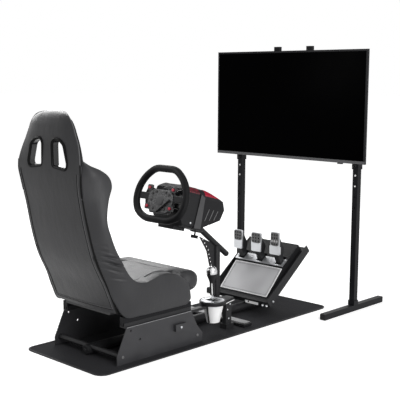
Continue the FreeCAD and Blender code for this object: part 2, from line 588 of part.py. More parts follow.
def make_tray():
    """Folded pedal tray, its support on the beam, pedal box and bright heel plate."""
    body = new_body("pedal_tray", TRAY)
    prism(body, "XY_Plane", "-tray_sheet", "0", rect("-tray_half", "tray_half", "0", "tray_long"))
    for side in SIDES:
        low, high = limits(side, "tray_half - tray_sheet", "tray_half")
        prism(body, "YZ_Plane", low, high, rect("0", "tray_long", "-tray_skirt", "tray_flange"))
    prism(body, "YZ_Plane", "-tray_half", "tray_half", rect("0", "tray_sheet", "-tray_skirt", "tray_lip"))
    body = new_body("tray_strip", TRAY)
    prism(body, "XZ_Plane", "-strip_thick", "0", rect("strip_in", "strip_out", "strip_low", "strip_high"))
    body = new_body("tray_support")
    prism(body, "YZ_Plane", "-support_half", "support_half", [
        ("support_rear", BEAM_MID), ("support_front", BEAM_MID),
        ("support_front", "support_front_z"), ("support_rear", "support_rear_z")])
    prism(body, "XZ_Plane", "support_rear", "support_front", cut=True, rings=[BEAM_RING])
    body = new_body("pedal_box", TRAY)
    prism(body, "YZ_Plane", "-pedal_half", "pedal_half", [
        ("heel_low_y", "0"), ("box_rear", "0"), ("box_rear", "ledge_z"), ("ledge_y", "ledge_z"),
        ("heel_high_y", "heel_high_z"), ("heel_low_y", "heel_low_z")])
    pedal_slots(body, "slot_floor", "ledge_z")
    prism(body, "YZ_Plane", "-pedal_half", "pedal_half",
          rings=[("pedal_pin_y", "pedal_pin_z", "pedal_pin_radius")])
    body = new_body("heel_plate", TRAY)
    prism(body, "YZ_Plane", "-heel_half", "heel_half", [
        ("heel_low_y", "heel_low_z"), ("heel_high_y", "heel_high_z"),
        ("heel_high_y", "heel_high_z + heel_thick"), ("heel_low_y", "heel_low_z + heel_thick")])
    body = new_body("pedal_ledge", TRAY)
    prism(body, "XY_Plane", "ledge_z", "ledge_z + ledge_thick",
          rect("-pedal_half", "pedal_half", "ledge_y", "ledge_rear"))
    pedal_slots(body, "ledge_z", "ledge_z + ledge_thick")


def pedal_slots(body, low, high):
    """Cut the three slots that the pedal arms swing in."""
    for centre in ("-pedal_spread", "0", "pedal_spread"):
        prism(body, "XY_Plane", low, high, rect(centre + " - slot_half", centre + " + slot_half",
                                                "slot_front", "slot_rear"), cut=True)


def make_pedals():
    """Three upright faces on arms that turn about pins in the pedal box."""
    for name, across in (("clutch", "-pedal_spread"), ("brake", "0"), ("throttle", "pedal_spread")):
        spot = (across, "pedal_pin_world_y", "pedal_pin_world_z")
        body = new_body(name + "_arm", spot)
        prism(body, "YZ_Plane", "-pedal_arm_half", "pedal_arm_half", [
            ("heel_tip_y", "heel_tip_z"), ("toe_tip_y", "heel_tip_z"), ("toe_y", "toe_z"),
            ("knee_y", "knee_z"), ("shin_y", "shin_z"), ("arm_tip_y", "arm_tip_z"),
            ("face_rear", "arm_tip_z"), ("face_rear", "face_low"), ("calf_y", "calf_z")])
        prism(body, "YZ_Plane", "-pedal_arm_half", "pedal_arm_half", cut=True,
              rings=[("0", "0", "pedal_pin_radius + pin_gap")])
        body = new_body(name + "_face", spot)
        half = name + "_half"
        outline = rect("-" + half, half, "face_low", "face_high")
        if name == "throttle":
            outline = both_sides([("throttle_top_half", "throttle_high"), ("throttle_top_half", "face_mid"),
                                  (half, "face_mid"), (half, "face_low")])
        prism(body, "XZ_Plane", "face_rear - face_thick", "face_rear", outline)
        soften(body, "face_corner", runs_along("y", lambda spot: abs(spot.z - number("face_mid")) > 1))


def make_gate():
    """Round gate plate with the three lanes and the cross slot of the lever."""
    body = new_body("gate_plate", SHIFT)
    top = "head_top + gate_thick"
    prism(body, "XY_Plane", "head_top", top, rings=[("0", "gate_shift", "gate_radius")])
    half = "lever_radius + gate_clear"
    prism(body, "XY_Plane", "head_top", top, rect(
        negated("gate_lane + " + half), "gate_lane + " + half,
        "gate_shift - lever_radius - gate_clear", "gate_shift + " + half), cut=True)
    for centre in ("-gate_lane", "0", "gate_lane"):
        prism(body, "XY_Plane", "head_top", top, rect(
            centre + " - lever_radius - gate_clear", centre + " + " + half,
            "gate_shift - gate_throw - lever_radius - gate_clear",
            "gate_shift + gate_throw + " + half), cut=True)


def make_shifter():
    """Gear lever in its gated head, on a column at the foot and a bar from the base."""
    body = new_body("shifter_cup", SHIFT)
    spin(body, [("0", "cup_low"), ("cup_low_radius", "cup_low"), ("cup_top_radius", "head_low"),
                ("cup_top_radius - cup_wall", "head_low"),
                ("cup_low_radius - cup_wall", "cup_low + cup_floor"), ("0", "cup_low + cup_floor")])
    body = new_body("shifter_head", SHIFT)
    prism(body, "XY_Plane", "head_low", "head_top", rings=[("0", "gate_shift", "head_radius")])
    prism(body, "XY_Plane", "head_low", "head_top", both_sides([
        ("tongue_half", "tongue_end"), ("tongue_root", "tongue_root_y"), ("tongue_root", "gate_shift")]))
    prism(body, "XY_Plane", "head_low", "head_top", cut=True, rings=[("0", "gate_shift", "head_bore")])
    make_gate()
    body = new_body("shifter_gimbal", SHIFT)
    ball = body.newObject("PartDesign::AdditiveSphere", "shifter_gimbal_ball")
    ball.setExpression("Radius", bound("ball_radius"))
    ball.setExpression("Placement.Base.z", bound("lever_pivot"))
    prism(body, "XZ_Plane", "-trunnion_reach", "trunnion_reach",
          rings=[("0", "lever_pivot", "trunnion_radius")])
    prism(body, "YZ_Plane", "-cross_pin_reach", "cross_pin_reach",
          rings=[("0", "lever_pivot", "trunnion_radius")])
    body = new_body("shifter_lever", LEVER)
    prism(body, "XY_Plane", "ball_radius + ball_gap", "grip_low", rings=[("0", "0", "lever_radius")])
    body = new_body("shifter_grip", LEVER)
    spin(body, [("0", "grip_low"), ("grip_neck", "grip_low"), ("grip_neck", "grip_collar"),
                ("grip_radius", "grip_mid"), ("grip_cheek_radius", "grip_cheek"),
                ("grip_brow_radius", "grip_brow"), ("grip_crown", "grip_top"), ("0", "grip_top")])
    body = new_body("shifter_column")
    prism(body, "XY_Plane", "mat_thick", "mat_thick + block_high",
          rect("shift_x - block_half", "shift_x + block_half", "block_rear", "block_front"))
    prism(body, "XY_Plane", "mat_thick + block_high", "head_low",
          rect("shift_x - column_half", "shift_x + column_half", "column_rear", "column_front"))
    body = new_body("shifter_arm")
    prism(body, "XY_Plane", "head_low - bar_thick", "head_low",
          rect("shift_x - bar_half", "shift_x + bar_half", "bar_rear", "bar_end"))
    prism(body, "XY_Plane", "front_cross_z", "head_low - bar_thick",
          rect("shift_x - bar_half", "shift_x + bar_half", "bar_rear", "bar_foot"))
    prism(body, "YZ_Plane", "shift_x - 2 * bar_half", "shift_x + 2 * bar_half", cut=True,
          rings=[("front_cross_y", "front_cross_z", "cross_radius")])


def square_at(across, along, side):
    """Corners of a square tube's section."""
    return rect("%s - %s / 2" % (across, side), "%s + %s / 2" % (across, side),
                "%s - %s / 2" % (along, side), "%s + %s / 2" % (along, side))


def make_stand():
    """Two standing legs with rows of adjusting holes, and the frame that slides on them."""
    spots = {"left": "-stand_x", "right": "stand_x"}
    for side, across in spots.items():
        body = new_body(side + "_stand_leg")
        prism(body, "XY_Plane", "0", "tube",
              rect(across + " - tube / 2", across + " + tube / 2", "stand_rear", "stand_front"))
        prism(body, "XY_Plane", "tube", "tube + collar_high", square_at(across, "stand_y", "sleeve"))
        prism(body, "XY_Plane", "tube + collar_high", "upright_top", square_at(across, "stand_y", "tube"))
        prism(body, "XZ_Plane", "stand_y - tube", "stand_y + tube", cut=True, rings=[
            (across, "leg_hole_z - %d * leg_hole_step" % step, "leg_hole") for step in range(4)])
    body = new_body("screen_frame")
    prism(body, "XY_Plane", "sleeve_low", "sleeve_top", square_at("stand_x", "stand_y", "sleeve"))
    prism(body, "YZ_Plane", "-stand_x", "stand_x", rect("beam_near", "beam_far", "beam_low", "beam_high"))
    prism(body, "XY_Plane", "sleeve_low", "sleeve_top", square_at("-stand_x", "stand_y", "sleeve"))
    for across in spots.values():
        prism(body, "XY_Plane", "sleeve_low", "sleeve_top",
              square_at(across, "stand_y", "sleeve_bore"), cut=True)


def make_screen():
    """Screen with a thin edge and a deeper back, hung on two upright rails."""
    rear = "screen_front + screen_thick"
    for side in SIDES:
        across = "screen_rail_x" if side == "right" else "-screen_rail_x"
        body = new_body(side + "_screen_rail")
        prism(body, "XY_Plane", "screen_rail_low", "screen_rail_top",
              rect(across + " - screen_rail_width / 2", across + " + screen_rail_width / 2",
                   rear, "beam_near"))
    body = new_body("screen_panel")
    edge = "screen_front + screen_edge"
    prism(body, "XZ_Plane", "screen_front", edge,
          rect("-screen_half", "screen_half", "screen_low", "screen_top"))
    prism(body, "XZ_Plane", edge, rear,
          rect("screen_inset - screen_half", "screen_half - screen_inset",
               "screen_low + screen_inset / 2", "screen_top - screen_inset"))
    prism(body, "XZ_Plane", "screen_front", edge,
          rect("nub_in", "nub_out", "screen_low - nub_deep", "screen_low"))
    prism(body, "XZ_Plane", "screen_front", "screen_front + glass_recess",
          rect("bezel - screen_half", "screen_half - bezel", "screen_low + bezel_low", "screen_top - bezel"),
          cut=True)


def hand_out():
    """Check every object, then write each node as its own file."""
    doc.recompute()
    bodies = [item for item in doc.Objects if item.TypeId == "PartDesign::Body"]
    nodes = [body for body in bodies if not body.Label.endswith("_trim")]
    for item in doc.Objects:
        if "Invalid" in item.State or "Error" in item.State:
            raise RuntimeError("%s did not build: %s" % (item.Label, item.State))
    for body in nodes:
        if body.Shape.isNull() or not body.Shape.isValid() or len(body.Shape.Solids) != 1:
            raise RuntimeError("%s is not one sound solid" % body.Label)
    for body in nodes:
        body.Shape.exportStep("parts/%s.step" % body.Label)
        box = body.Shape.BoundBox
        print(body.Label, round(body.Shape.Volume / 1000), "cm3",
              [round(v) for v in (box.XMin, box.XMax, box.YMin, box.YMax, box.ZMin, box.ZMax)])


make_mat()
make_base()
make_wheel_stand()
make_rails()
make_seat()
make_wheel()
make_wheel_base()
make_tray()
make_pedals()
make_shifter()
make_stand()
make_screen()
hand_out()
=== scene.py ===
"""Looks of a racing seat set: bucket seat, wheel, pedals, gear lever and screen.

Everything is in metres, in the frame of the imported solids: +X is the driver's
right, +Y runs forward to the screen and the floor is at Z = 0.
"""

from __future__ import annotations

import json
import logging
import math
from dataclasses import dataclass
from enum import Enum
from typing import Any, Sequence

import bpy
import numpy as np
from mathutils import Matrix, Vector

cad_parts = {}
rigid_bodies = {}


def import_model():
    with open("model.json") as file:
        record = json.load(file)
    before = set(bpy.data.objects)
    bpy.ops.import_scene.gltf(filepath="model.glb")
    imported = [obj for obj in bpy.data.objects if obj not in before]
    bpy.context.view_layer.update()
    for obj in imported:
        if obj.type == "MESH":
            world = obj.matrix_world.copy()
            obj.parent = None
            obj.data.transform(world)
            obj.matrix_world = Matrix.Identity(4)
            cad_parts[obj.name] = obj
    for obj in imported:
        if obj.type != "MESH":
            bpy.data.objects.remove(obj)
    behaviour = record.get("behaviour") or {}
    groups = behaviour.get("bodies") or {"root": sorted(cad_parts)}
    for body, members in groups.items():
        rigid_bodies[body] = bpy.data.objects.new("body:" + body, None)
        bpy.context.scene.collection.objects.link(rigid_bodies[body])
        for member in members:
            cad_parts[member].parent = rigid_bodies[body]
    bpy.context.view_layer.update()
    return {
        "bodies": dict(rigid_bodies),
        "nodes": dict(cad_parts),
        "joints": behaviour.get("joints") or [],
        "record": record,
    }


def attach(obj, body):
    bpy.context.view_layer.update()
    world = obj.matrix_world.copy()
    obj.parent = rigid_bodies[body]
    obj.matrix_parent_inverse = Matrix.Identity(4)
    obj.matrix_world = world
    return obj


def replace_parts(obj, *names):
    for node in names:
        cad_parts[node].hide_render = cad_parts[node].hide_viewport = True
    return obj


LOG = logging.getLogger("racing_seat_set")
Array = np.ndarray
Colour = tuple[float, float, float]
Spot = tuple[float, float, float]
Pair = tuple[float, float]
# low and high across, then low and high along
Box = tuple[float, float, float, float]
Table = tuple[tuple[float, ...], ...]

SIDES: tuple[tuple[str, float], ...] = (("left", -1.0), ("right", 1.0))
SEEN_RAYS: tuple[str, ...] = ("Is Camera Ray", "Is Glossy Ray", "Is Transmission Ray")
# angles in degrees from which an edge stays sharp
CRISP, CRISP_SOFT, CRISP_PANEL, CRISP_TURNED, CRISP_FLAT = 38.0, 60.0, 50.0, 30.0, 28.0
# how far a bolt's foot reaches into what it holds
BOLT_SUNK = 0.0005
# button-head bolt: share of the radius and of the height, from the foot to the recess
BOLT: Table = ((1.0, 0.0), (1.0, 0.45), (0.9, 0.8), (0.7, 1.0), (0.42, 1.0), (0.36, 0.45))


class Socket:
    """A shader socket that takes part in Python arithmetic through Math nodes."""

    def __init__(self, kit: NodeKit, plug: Any) -> None:
        """Keep the node kit and the output socket."""
        self.kit = kit
        self.plug = plug

    def _math(self, operation: str, *values: Any) -> Socket:
        """Add one Math node with the values, sockets or numbers, as its inputs."""
        return self.kit.node("ShaderNodeMath", {"operation": operation}, dict(enumerate(values)))

    def __add__(self, other: Any) -> Socket:
        """Sum of two values."""
        return self._math("ADD", self, other)

    __radd__ = __add__

    def __sub__(self, other: Any) -> Socket:
        """This value less another."""
        return self._math("SUBTRACT", self, other)

    def __rsub__(self, other: Any) -> Socket:
        """Another value less this one."""
        return self._math("SUBTRACT", other, self)

    def __mul__(self, other: Any) -> Socket:
        """Product of two values."""
        return self._math("MULTIPLY", self, other)

    __rmul__ = __mul__

    def clamp(self) -> Socket:
        """The value held between nought and one."""
        return self.kit.node("ShaderNodeClamp", {}, {"Value": self})

    def smooth(self, low: float, high: float) -> Socket:
        """Smooth step from nought at low to one at high."""
        inputs = {"Value": self, "From Min": low, "From Max": high}
        return self.kit.node("ShaderNodeMapRange", {"interpolation_type": "SMOOTHSTEP"}, inputs)


class NodeKit:
    """A node tree and the one method that adds to it."""

    def __init__(self, tree: bpy.types.NodeTree) -> None:
        """Take a node tree and empty it."""
        self.tree = tree
        self.tree.nodes.clear()

    def node(self, kind: str, settings: dict[str, Any], inputs: dict[Any, Any],
             output: Any = 0) -> Socket:
        """Add any node: settings first, then the values or links of its sockets.

        Args:
            kind: Blender's node type.
            settings: Properties set before the sockets are read.
            inputs: Values or sockets by socket name or index.
            output: Name or index of the output handed back.

        Returns:
            The chosen output socket, without a plug if the node has no outputs.
        """
        node = self.tree.nodes.new(kind)
        for key, value in settings.items():
            setattr(node, key, value)
        for key, value in inputs.items():
            self.feed(node.inputs[key], value)
        return Socket(self, node.outputs[output] if len(node.outputs) else None)

    def feed(self, plug: Any, value: Any) -> None:
        """Link a socket, or set a plain value, on one input.

        Args:
            plug: The input socket.
            value: A socket to link, or a number, vector or colour.
        """
        if isinstance(value, Socket):
            self.tree.links.new(value.plug, plug)
        elif isinstance(value, (tuple, list)) and plug.type == "RGBA" and len(value) == 3:
            plug.default_value = (*value, 1.0)
        else:
            plug.default_value = value

    def seen(self) -> Socket:
        """One for rays of the eye and for what gloss and glass show, else nought."""
        return sum(self.node("ShaderNodeLightPath", {}, {}, ray) for ray in SEEN_RAYS).clamp()


class Shader(NodeKit):
    """One material and the few node calls that its finish is written with."""

    def __init__(self, name: str) -> None:
        """Start an empty node material with one Principled shader.

        Args:
            name: The material's name.
        """
        self.material = bpy.data.materials.new(name)
        self.material.use_nodes = True
        super().__init__(self.material.node_tree)
        shade = self.node("ShaderNodeBsdfPrincipled", {}, {})
        self.surface = shade.plug.node
        self.node("ShaderNodeOutputMaterial", {}, {"Surface": shade})

    def place(self) -> Socket:
        """Position on the object, in metres."""
        return self.node("ShaderNodeTexCoord", {}, {}, "Object")

    def noise(self, scale: float, detail: float = 2.0, stretch: Sequence[float] | None = None,
              roughness: float = 0.5) -> Socket:
        """Soft noise from nought to one.

        Args:
            scale: Grains per metre.
            detail: Octaves of finer grain.
            stretch: Optional scale along each axis first.
            roughness: Share of each finer octave.

        Returns:
            The noise value.
        """
        where = self.place()
        if stretch is not None:
            where = self.node("ShaderNodeMapping", {}, {"Vector": where, "Scale": tuple(stretch)})
        return self.node("ShaderNodeTexNoise", {}, {"Vector": where, "Scale": scale, "Detail": detail,
                                                    "Roughness": roughness})

    def cells(self, scale: float) -> Socket:
        """Distance to the nearest grain of a pebbled surface."""
        inputs = {"Vector": self.place(), "Scale": scale}
        return self.node("ShaderNodeTexVoronoi", {"feature": "F1"}, inputs, "Distance")

    def mix(self, factor: Any, low: Any, high: Any) -> Socket:
        """Blend two colours by a factor."""
        return self.node("ShaderNodeMix", {"data_type": "RGBA"}, {"Factor": factor, 6: low, 7: high}, 2)

    def shades(self, factor: Socket, colour: Colour, low: float, high: float) -> Socket:
        """Colour that wanders between two multiples of itself, held at one."""
        ends = [tuple(min(part * share, 1.0) for part in colour) for share in (low, high)]
        return self.mix(factor, *ends)

    def bump(self, height: Socket, strength: float, distance: float, normal: Any = None) -> Socket:
        """Normal that leans with a height over the surface.

        Args:
            height: The height, from nought to one.
            strength: How strongly the normal leans.
            distance: What a height of one stands for, in metres.
            normal: Optional normal that is leant further.

        Returns:
            The normal.
        """
        inputs = {"Height": height, "Strength": strength, "Distance": distance}
        if normal is not None:
            inputs["Normal"] = normal
        return self.node("ShaderNodeBump", {}, inputs)

    def set(self, **sockets: Any) -> bpy.types.Material:
        """Set the Principled shader's sockets, underscores for blanks.

        Args:
            sockets: Values or links by socket name.

        Returns:
            The material.
        """
        for key, value in sockets.items():
            self.feed(self.surface.inputs[key.replace("_", " ")], value)
        return self.material


@dataclass(frozen=True)
class Finish:
    """What every finish holds: its name, and pairs for its tone, roughness and relief.

    The tone runs between two multiples of the colour, the roughness from a start over a range,
    and the relief is a bump's strength and its depth in metres.
    """

    name: str
    colour: Colour
    shade: Pair = (1.0, 1.0)
    rough: Pair = (0.45, 0.1)
    relief: Pair = (0.15, 0.0003)
    specular: float = 0.5

    def finished(self, kit: Shader, cloud: Socket, height: Socket, tint: Socket | None = None,
                 under: Socket | None = None, metal: float = 0.0) -> bpy.types.Material:
        """Set the sockets that all finishes share.

        Args:
            kit: The material's node kit.
            cloud: What tone and roughness follow, from nought to one.
            height: What the relief follows.
            tint: Optional colour that doesn't follow the cloud.
            under: Optional normal that the relief leans further.
            metal: Share of bare metal.

        Returns:
            The finished material.
        """
        start, span = self.rough
        return kit.set(Base_Color=tint or kit.shades(cloud, self.colour, *self.shade),
                       Roughness=start + cloud * span, Specular_IOR_Level=self.specular,
                       Metallic=metal, Normal=kit.bump(height, *self.relief, under))


@dataclass(frozen=True)
class PowderCoat(Finish):
    """Black powder paint on steel: fine orange peel and slight wear."""

    name: str = "black_powder_coat"
    colour: Colour = (0.012, 0.012, 0.013)
    shade: Pair = (1.0, 1.7)
    rough: Pair = (0.36, 0.16)
    relief: Pair = (0.12, 0.0004)
    specular: float = 0.2
    peel: float = 900.0
    wear: float = 14.0

    def build(self) -> bpy.types.Material:
        """Make the material."""
        kit = Shader(self.name)
        return self.finished(kit, kit.noise(self.wear, 3.0), kit.noise(self.peel, 3.0))


@dataclass(frozen=True)
class Leatherette(Finish):
    """Coated black seat cover: pebbled grain, soft creases and a low sheen."""

    name: str = "black_leatherette"
    colour: Colour = (0.026, 0.026, 0.0277)
    shade: Pair = (0.85, 1.3)
    rough: Pair = (0.33, 0.14)
    relief: Pair = (0.22, 0.0006)
    specular: float = 0.23
    pebbles: float = 700.0
    wear: float = 9.0
    ripples: float = 26.0
    ripple_stretch: Spot = (1.0, 1.0, 0.4)
    ripple_relief: Pair = (0.25, 0.006)

    def build(self) -> bpy.types.Material:
        """Make the material.

        Returns:
            The finished material.
        """
        kit = Shader(self.name)
        grain = kit.cells(self.pebbles)
        soft = kit.bump(kit.noise(self.ripples, 2.0, self.ripple_stretch), *self.ripple_relief)
        return self.finished(kit, kit.noise(self.wear, 3.0), grain, under=soft)


@dataclass(frozen=True)
class MouldedPlastic(Finish):
    """Moulded plastic with a fine spark-eroded grain."""

    shade: Pair = (1.0, 1.35)
    grain: float = 1400.0
    cloud: float = 20.0

    def build(self) -> bpy.types.Material:
        """Make the material."""
        kit = Shader(self.name)
        return self.finished(kit, kit.noise(self.cloud, 2.0), kit.noise(self.grain, 2.0))


@dataclass(frozen=True)
class MottledPlastic(Finish):
    """Plastic in two tones that mingle in small soft patches."""

    rough: Pair = (0.34, 0.12)
    light: Colour = (1.0, 1.0, 1.0)
    patches: float = 150.0
    patch_step: Pair = (0.38, 0.66)
    grain: float = 1400.0

    def build(self) -> bpy.types.Material:
        """Make the material.

        Returns:
            The finished material.
        """
        kit = Shader(self.name)
        patch = kit.noise(self.patches, 2.0).smooth(*self.patch_step)
        return self.finished(kit, patch, kit.noise(self.grain, 2.0),
                             tint=kit.mix(patch, self.colour, self.light))


@dataclass(frozen=True)
class BrushedMetal(Finish):
    """Bare metal with fine straight brush lines."""

    colour: Colour = (0.62, 0.63, 0.65)
    shade: Pair = (0.86, 1.0)
    rough: Pair = (0.28, 0.14)
    relief: Pair = (0.08, 0.0002)
    stretch: Spot = (1.0, 60.0, 60.0)
    lines: float = 30.0

    def build(self) -> bpy.types.Material:
        """Make the material.

        Returns:
            The finished material.
        """
        kit = Shader(self.name)
        lines = kit.noise(self.lines, 3.0, self.stretch)
        return self.finished(kit, lines, lines, metal=1.0)


@dataclass(frozen=True)
class SatinSteel(Finish):
    """Satin steel sheet with a fine rolled grain and soft clouds."""

    name: str = "satin_steel"
    colour: Colour = (0.42, 0.42, 0.43)
    shade: Pair = (0.58, 0.98)
    rough: Pair = (0.40, 0.10)
    relief: Pair = (0.16, 0.0004)
    cloud: float = 5.0
    cloud_step: Pair = (0.30, 0.70)
    grain: float = 520.0
    metal: float = 0.8

    def build(self) -> bpy.types.Material:
        """Make the material.

        Returns:
            The finished material.
        """
        kit = Shader(self.name)
        cloud = kit.noise(self.cloud, 1.0).smooth(*self.cloud_step)
        return self.finished(kit, cloud, kit.noise(self.grain, 2.0), metal=self.metal)


@dataclass(frozen=True)
class MatTextile(Finish):
    """Short charcoal pile of the floor mat."""

    name: str = "charcoal_pile"
    colour: Colour = (0.020, 0.020, 0.022)
    shade: Pair = (0.5, 1.9)
    rough: Pair = (0.9, 0.08)
    relief: Pair = (0.6, 0.0015)
    specular: float = 0.12
    pile: float = 700.0
    cloud: float = 7.0

    def build(self) -> bpy.types.Material:
        """Make the material.

        Returns:
            The finished material.
        """
        kit = Shader(self.name)
        pile = kit.noise(self.pile, 3.0, roughness=0.7)
        return self.finished(kit, kit.noise(self.cloud, 2.0), pile,
                             tint=kit.shades(pile, self.colour, *self.shade))


class Look(Enum):
    """Finishes by the name of what wears them."""

    TEXTILE = "mat_textile"
    STEEL = "black_steel"
    LEATHER = "black_leatherette"
    PLASTIC = "black_plastic"
    SUEDE = "rim_suede"
    HUB = "hub_plastic"
    BRIGHT = "bright_steel"
    PALE = "pale_plastic"
    CHROME = "chrome_grip"
    PLATE = "side_plate_paint"
    STAND = "stand_paint"
    PIPING = "piping"
    GLOSS = "gloss_black"
    RED = "red_caps"
    WINE = "wine_panels"
    RUBBER = "grey_rubber"
    SATIN = "satin_steel"
    GLASS = "screen_glass"
    BEZEL = "screen_bezel"
    STRAP = "strap_grey"
    WELT = "seat_welt"
    # painted highlight: grey for the lit top of the cross foot and the lit upper edge of the side plates
    PAINTED_SHEEN = "foot_tread"


class Wardrobe:
    """Every finish of the set, and which carried-over solid wears which."""

    by_node: dict[str, Look] = {
        "heel_plate": Look.SATIN, "left_stand_leg": Look.STAND, "right_stand_leg": Look.STAND,
        "screen_frame": Look.STAND, "screen_panel": Look.BEZEL, "left_screen_rail": Look.STAND,
        "right_screen_rail": Look.STAND, "right_side_plate": Look.PLATE, "left_side_plate": Look.PLATE,
        "side_clamp": Look.PLATE, "shifter_head": Look.BEZEL,
        "left_upper_rail": Look.STAND, "right_upper_rail": Look.STAND}
    # moulded finishes: tone of red, green and blue, start of the roughness, sheen and grains per metre
    moulded: dict[Look, tuple[float, ...]] = {
        Look.PLASTIC: (0.012, 0.012, 0.013, 0.45, 0.14, 1400.0),
        Look.SUEDE: (0.0045, 0.0045, 0.005, 0.5, 0.11, 1800.0),
        Look.PALE: (0.90, 0.90, 0.90, 0.3, 0.5, 1400.0),
        Look.PIPING: (0.060, 0.060, 0.063, 0.45, 0.5, 1400.0),
        Look.GLOSS: (0.012, 0.012, 0.013, 0.15, 0.5, 1400.0),
        Look.RED: (0.28, 0.009, 0.026, 0.35, 0.5, 1400.0),
        Look.RUBBER: (0.11, 0.11, 0.112, 0.7, 0.5, 1400.0),
        Look.GLASS: (0.0003, 0.0003, 0.0004, 0.22, 0.005, 30.0),
        Look.BEZEL: (0.009, 0.009, 0.010, 0.4, 0.13, 1400.0),
        Look.STRAP: (0.044, 0.044, 0.046, 0.45, 0.3, 1400.0),
        # painted highlight grey, for lit tops and edges of black parts
        Look.PAINTED_SHEEN: (0.20, 0.20, 0.205, 0.4, 0.5, 1400.0),
        Look.WELT: (0.004, 0.004, 0.004, 0.6, 0.1, 1400.0)}

    def __init__(self) -> None:
        """Build every finish once.

        The moulded ones come from the table, the others from classes of their own.
        """
        makers: dict[Look, Any] = {
            Look.TEXTILE: MatTextile(),
            Look.STEEL: PowderCoat(),
            Look.LEATHER: Leatherette(),
            Look.SATIN: SatinSteel(),
            Look.HUB: MottledPlastic(Look.HUB.value, (0.010, 0.010, 0.011), light=(0.085, 0.085, 0.088)),
            Look.WINE: MottledPlastic(Look.WINE.value, (0.050, 0.006, 0.010), light=(0.16, 0.012, 0.022),
                                      patches=90.0),
            Look.BRIGHT: BrushedMetal(Look.BRIGHT.value),
            Look.CHROME: BrushedMetal(Look.CHROME.value, (0.60, 0.60, 0.61), rough=(0.10, 0.14),
                                      stretch=(1.0, 1.0, 1.0)),
            Look.PLATE: PowderCoat(Look.PLATE.value, (0.025, 0.025, 0.027), specular=0.25),
            Look.STAND: PowderCoat(Look.STAND.value, (0.006, 0.006, 0.007), specular=0.1)}
        for look, (red, green, blue, rough, sheen, grain) in self.moulded.items():
            makers[look] = MouldedPlastic(look.value, (red, green, blue), rough=(rough, 0.1),
                                          specular=sheen, grain=grain)
        self.finish = {look: makers[look].build() for look in Look}

    def dress(self, frame: dict[str, Any]) -> None:
        """Put a finish on every carried-over node.
        """
        by_slot = {look.value: look for look in Look}
        for entry in frame["record"]["subparts"]:
            node = frame["nodes"].get(entry["node"])
            look = self.by_node.get(entry["node"], by_slot.get(entry["material_slot"]))
            if node is not None and look is not None:
                node.data.materials.clear()
                node.data.materials.append(self.finish[look])


def spline(points: Any, count: int) -> Array:
    """Smooth line through control points: cubic pieces whose slopes come from the neighbours.

    Args:
        points: Control points, one row each, with any number of columns.
        count: How many rows to hand back, evenly spaced along the chord.

    Returns:
        The sampled line.
    """
    knots = np.asarray(points, float)
    gaps = np.linalg.norm(np.diff(knots, axis=0), axis=1)
    place = np.concatenate([[0.0], np.cumsum(gaps)])
    slopes = np.gradient(knots, place, axis=0)
    where = np.linspace(0.0, place[-1], count)
    index = np.clip(np.searchsorted(place, where, "right") - 1, 0, len(knots) - 2)
    width = gaps[index][:, None]
    t = (where - place[index])[:, None] / width
    start = (2 * t**3 - 3 * t**2 + 1) * knots[index] + (t**3 - 2 * t**2 + t) * width * slopes[index]
    end = (3 * t**2 - 2 * t**3) * knots[index + 1] + (t**3 - t**2) * width * slopes[index + 1]
    return start + end


def rounded(corners: Any, cuts: Any, steps: int = 6) -> Array:
    """Closed outlines with each corner swapped for a parabola that starts a cut's length away.

    Args:
        corners: Outline corners, shape (..., corners, 2).
        cuts: Length cut off at each corner, held under half of either side.
        steps: Points on each corner.

    Returns:
        Outline points, shape (..., corners * steps, 2).
    """
    most = 0.48
    spot = np.asarray(corners, float)
    back = np.roll(spot, 1, axis=-2) - spot
    ahead = np.roll(spot, -1, axis=-2) - spot
    reach_back = np.linalg.norm(back, axis=-1)
    reach_ahead = np.linalg.norm(ahead, axis=-1)
    cut = np.minimum(np.broadcast_to(cuts, reach_back.shape), most * np.minimum(reach_back, reach_ahead))
    start = spot + back / reach_back[..., None] * cut[..., None]
    end = spot + ahead / reach_ahead[..., None] * cut[..., None]
    t = np.linspace(0.0, 1.0, steps)[:, None]
    curve = ((1 - t) ** 2 * start[..., None, :] + 2 * t * (1 - t) * spot[..., None, :]
             + t**2 * end[..., None, :])
    return curve.reshape(*spot.shape[:-2], -1, 2)


def grown(outline: Array, size: float) -> Array:
    """A closed outline moved outward along its own corner normals.

    Args:
        outline: Points of the outline, shape (points, 2).
        size: How far each point moves; inward if it is less than nought.

    Returns:
        The moved outline.
    """
    side = np.roll(outline, -1, axis=0) - np.roll(outline, 1, axis=0)
    normal = np.column_stack([side[:, 1], -side[:, 0]])
    normal /= np.linalg.norm(normal, axis=1)[:, None]
    after = np.roll(outline, -1, axis=0)
    area = np.sum(outline[:, 0] * after[:, 1] - after[:, 0] * outline[:, 1])
    return outline + normal * size * np.sign(area)


def mirrored(half: Table) -> Array:
    """A closed outline from its right half, listed from one end to the other."""
    right = np.asarray(half, float)
    return np.vstack([right, right[::-1] * (-1.0, 1.0)])


def block(low: float, high: float, bottom: float, top: float) -> Array:
    """Corners of an upright rectangle."""
    return np.array([(low, bottom), (high, bottom), (high, top), (low, top)])


def circle(count: int) -> Array:
    """Points of a circle of radius one, shape (points, 2)."""
    angle = np.linspace(0.0, 2 * np.pi, count, endpoint=False)
    return np.column_stack([np.cos(angle), np.sin(angle)])


def lifted(outline: Array, height: float) -> Array:
    """A flat outline as points in space, all at one height."""
    return np.column_stack([outline, np.full(len(outline), height)])


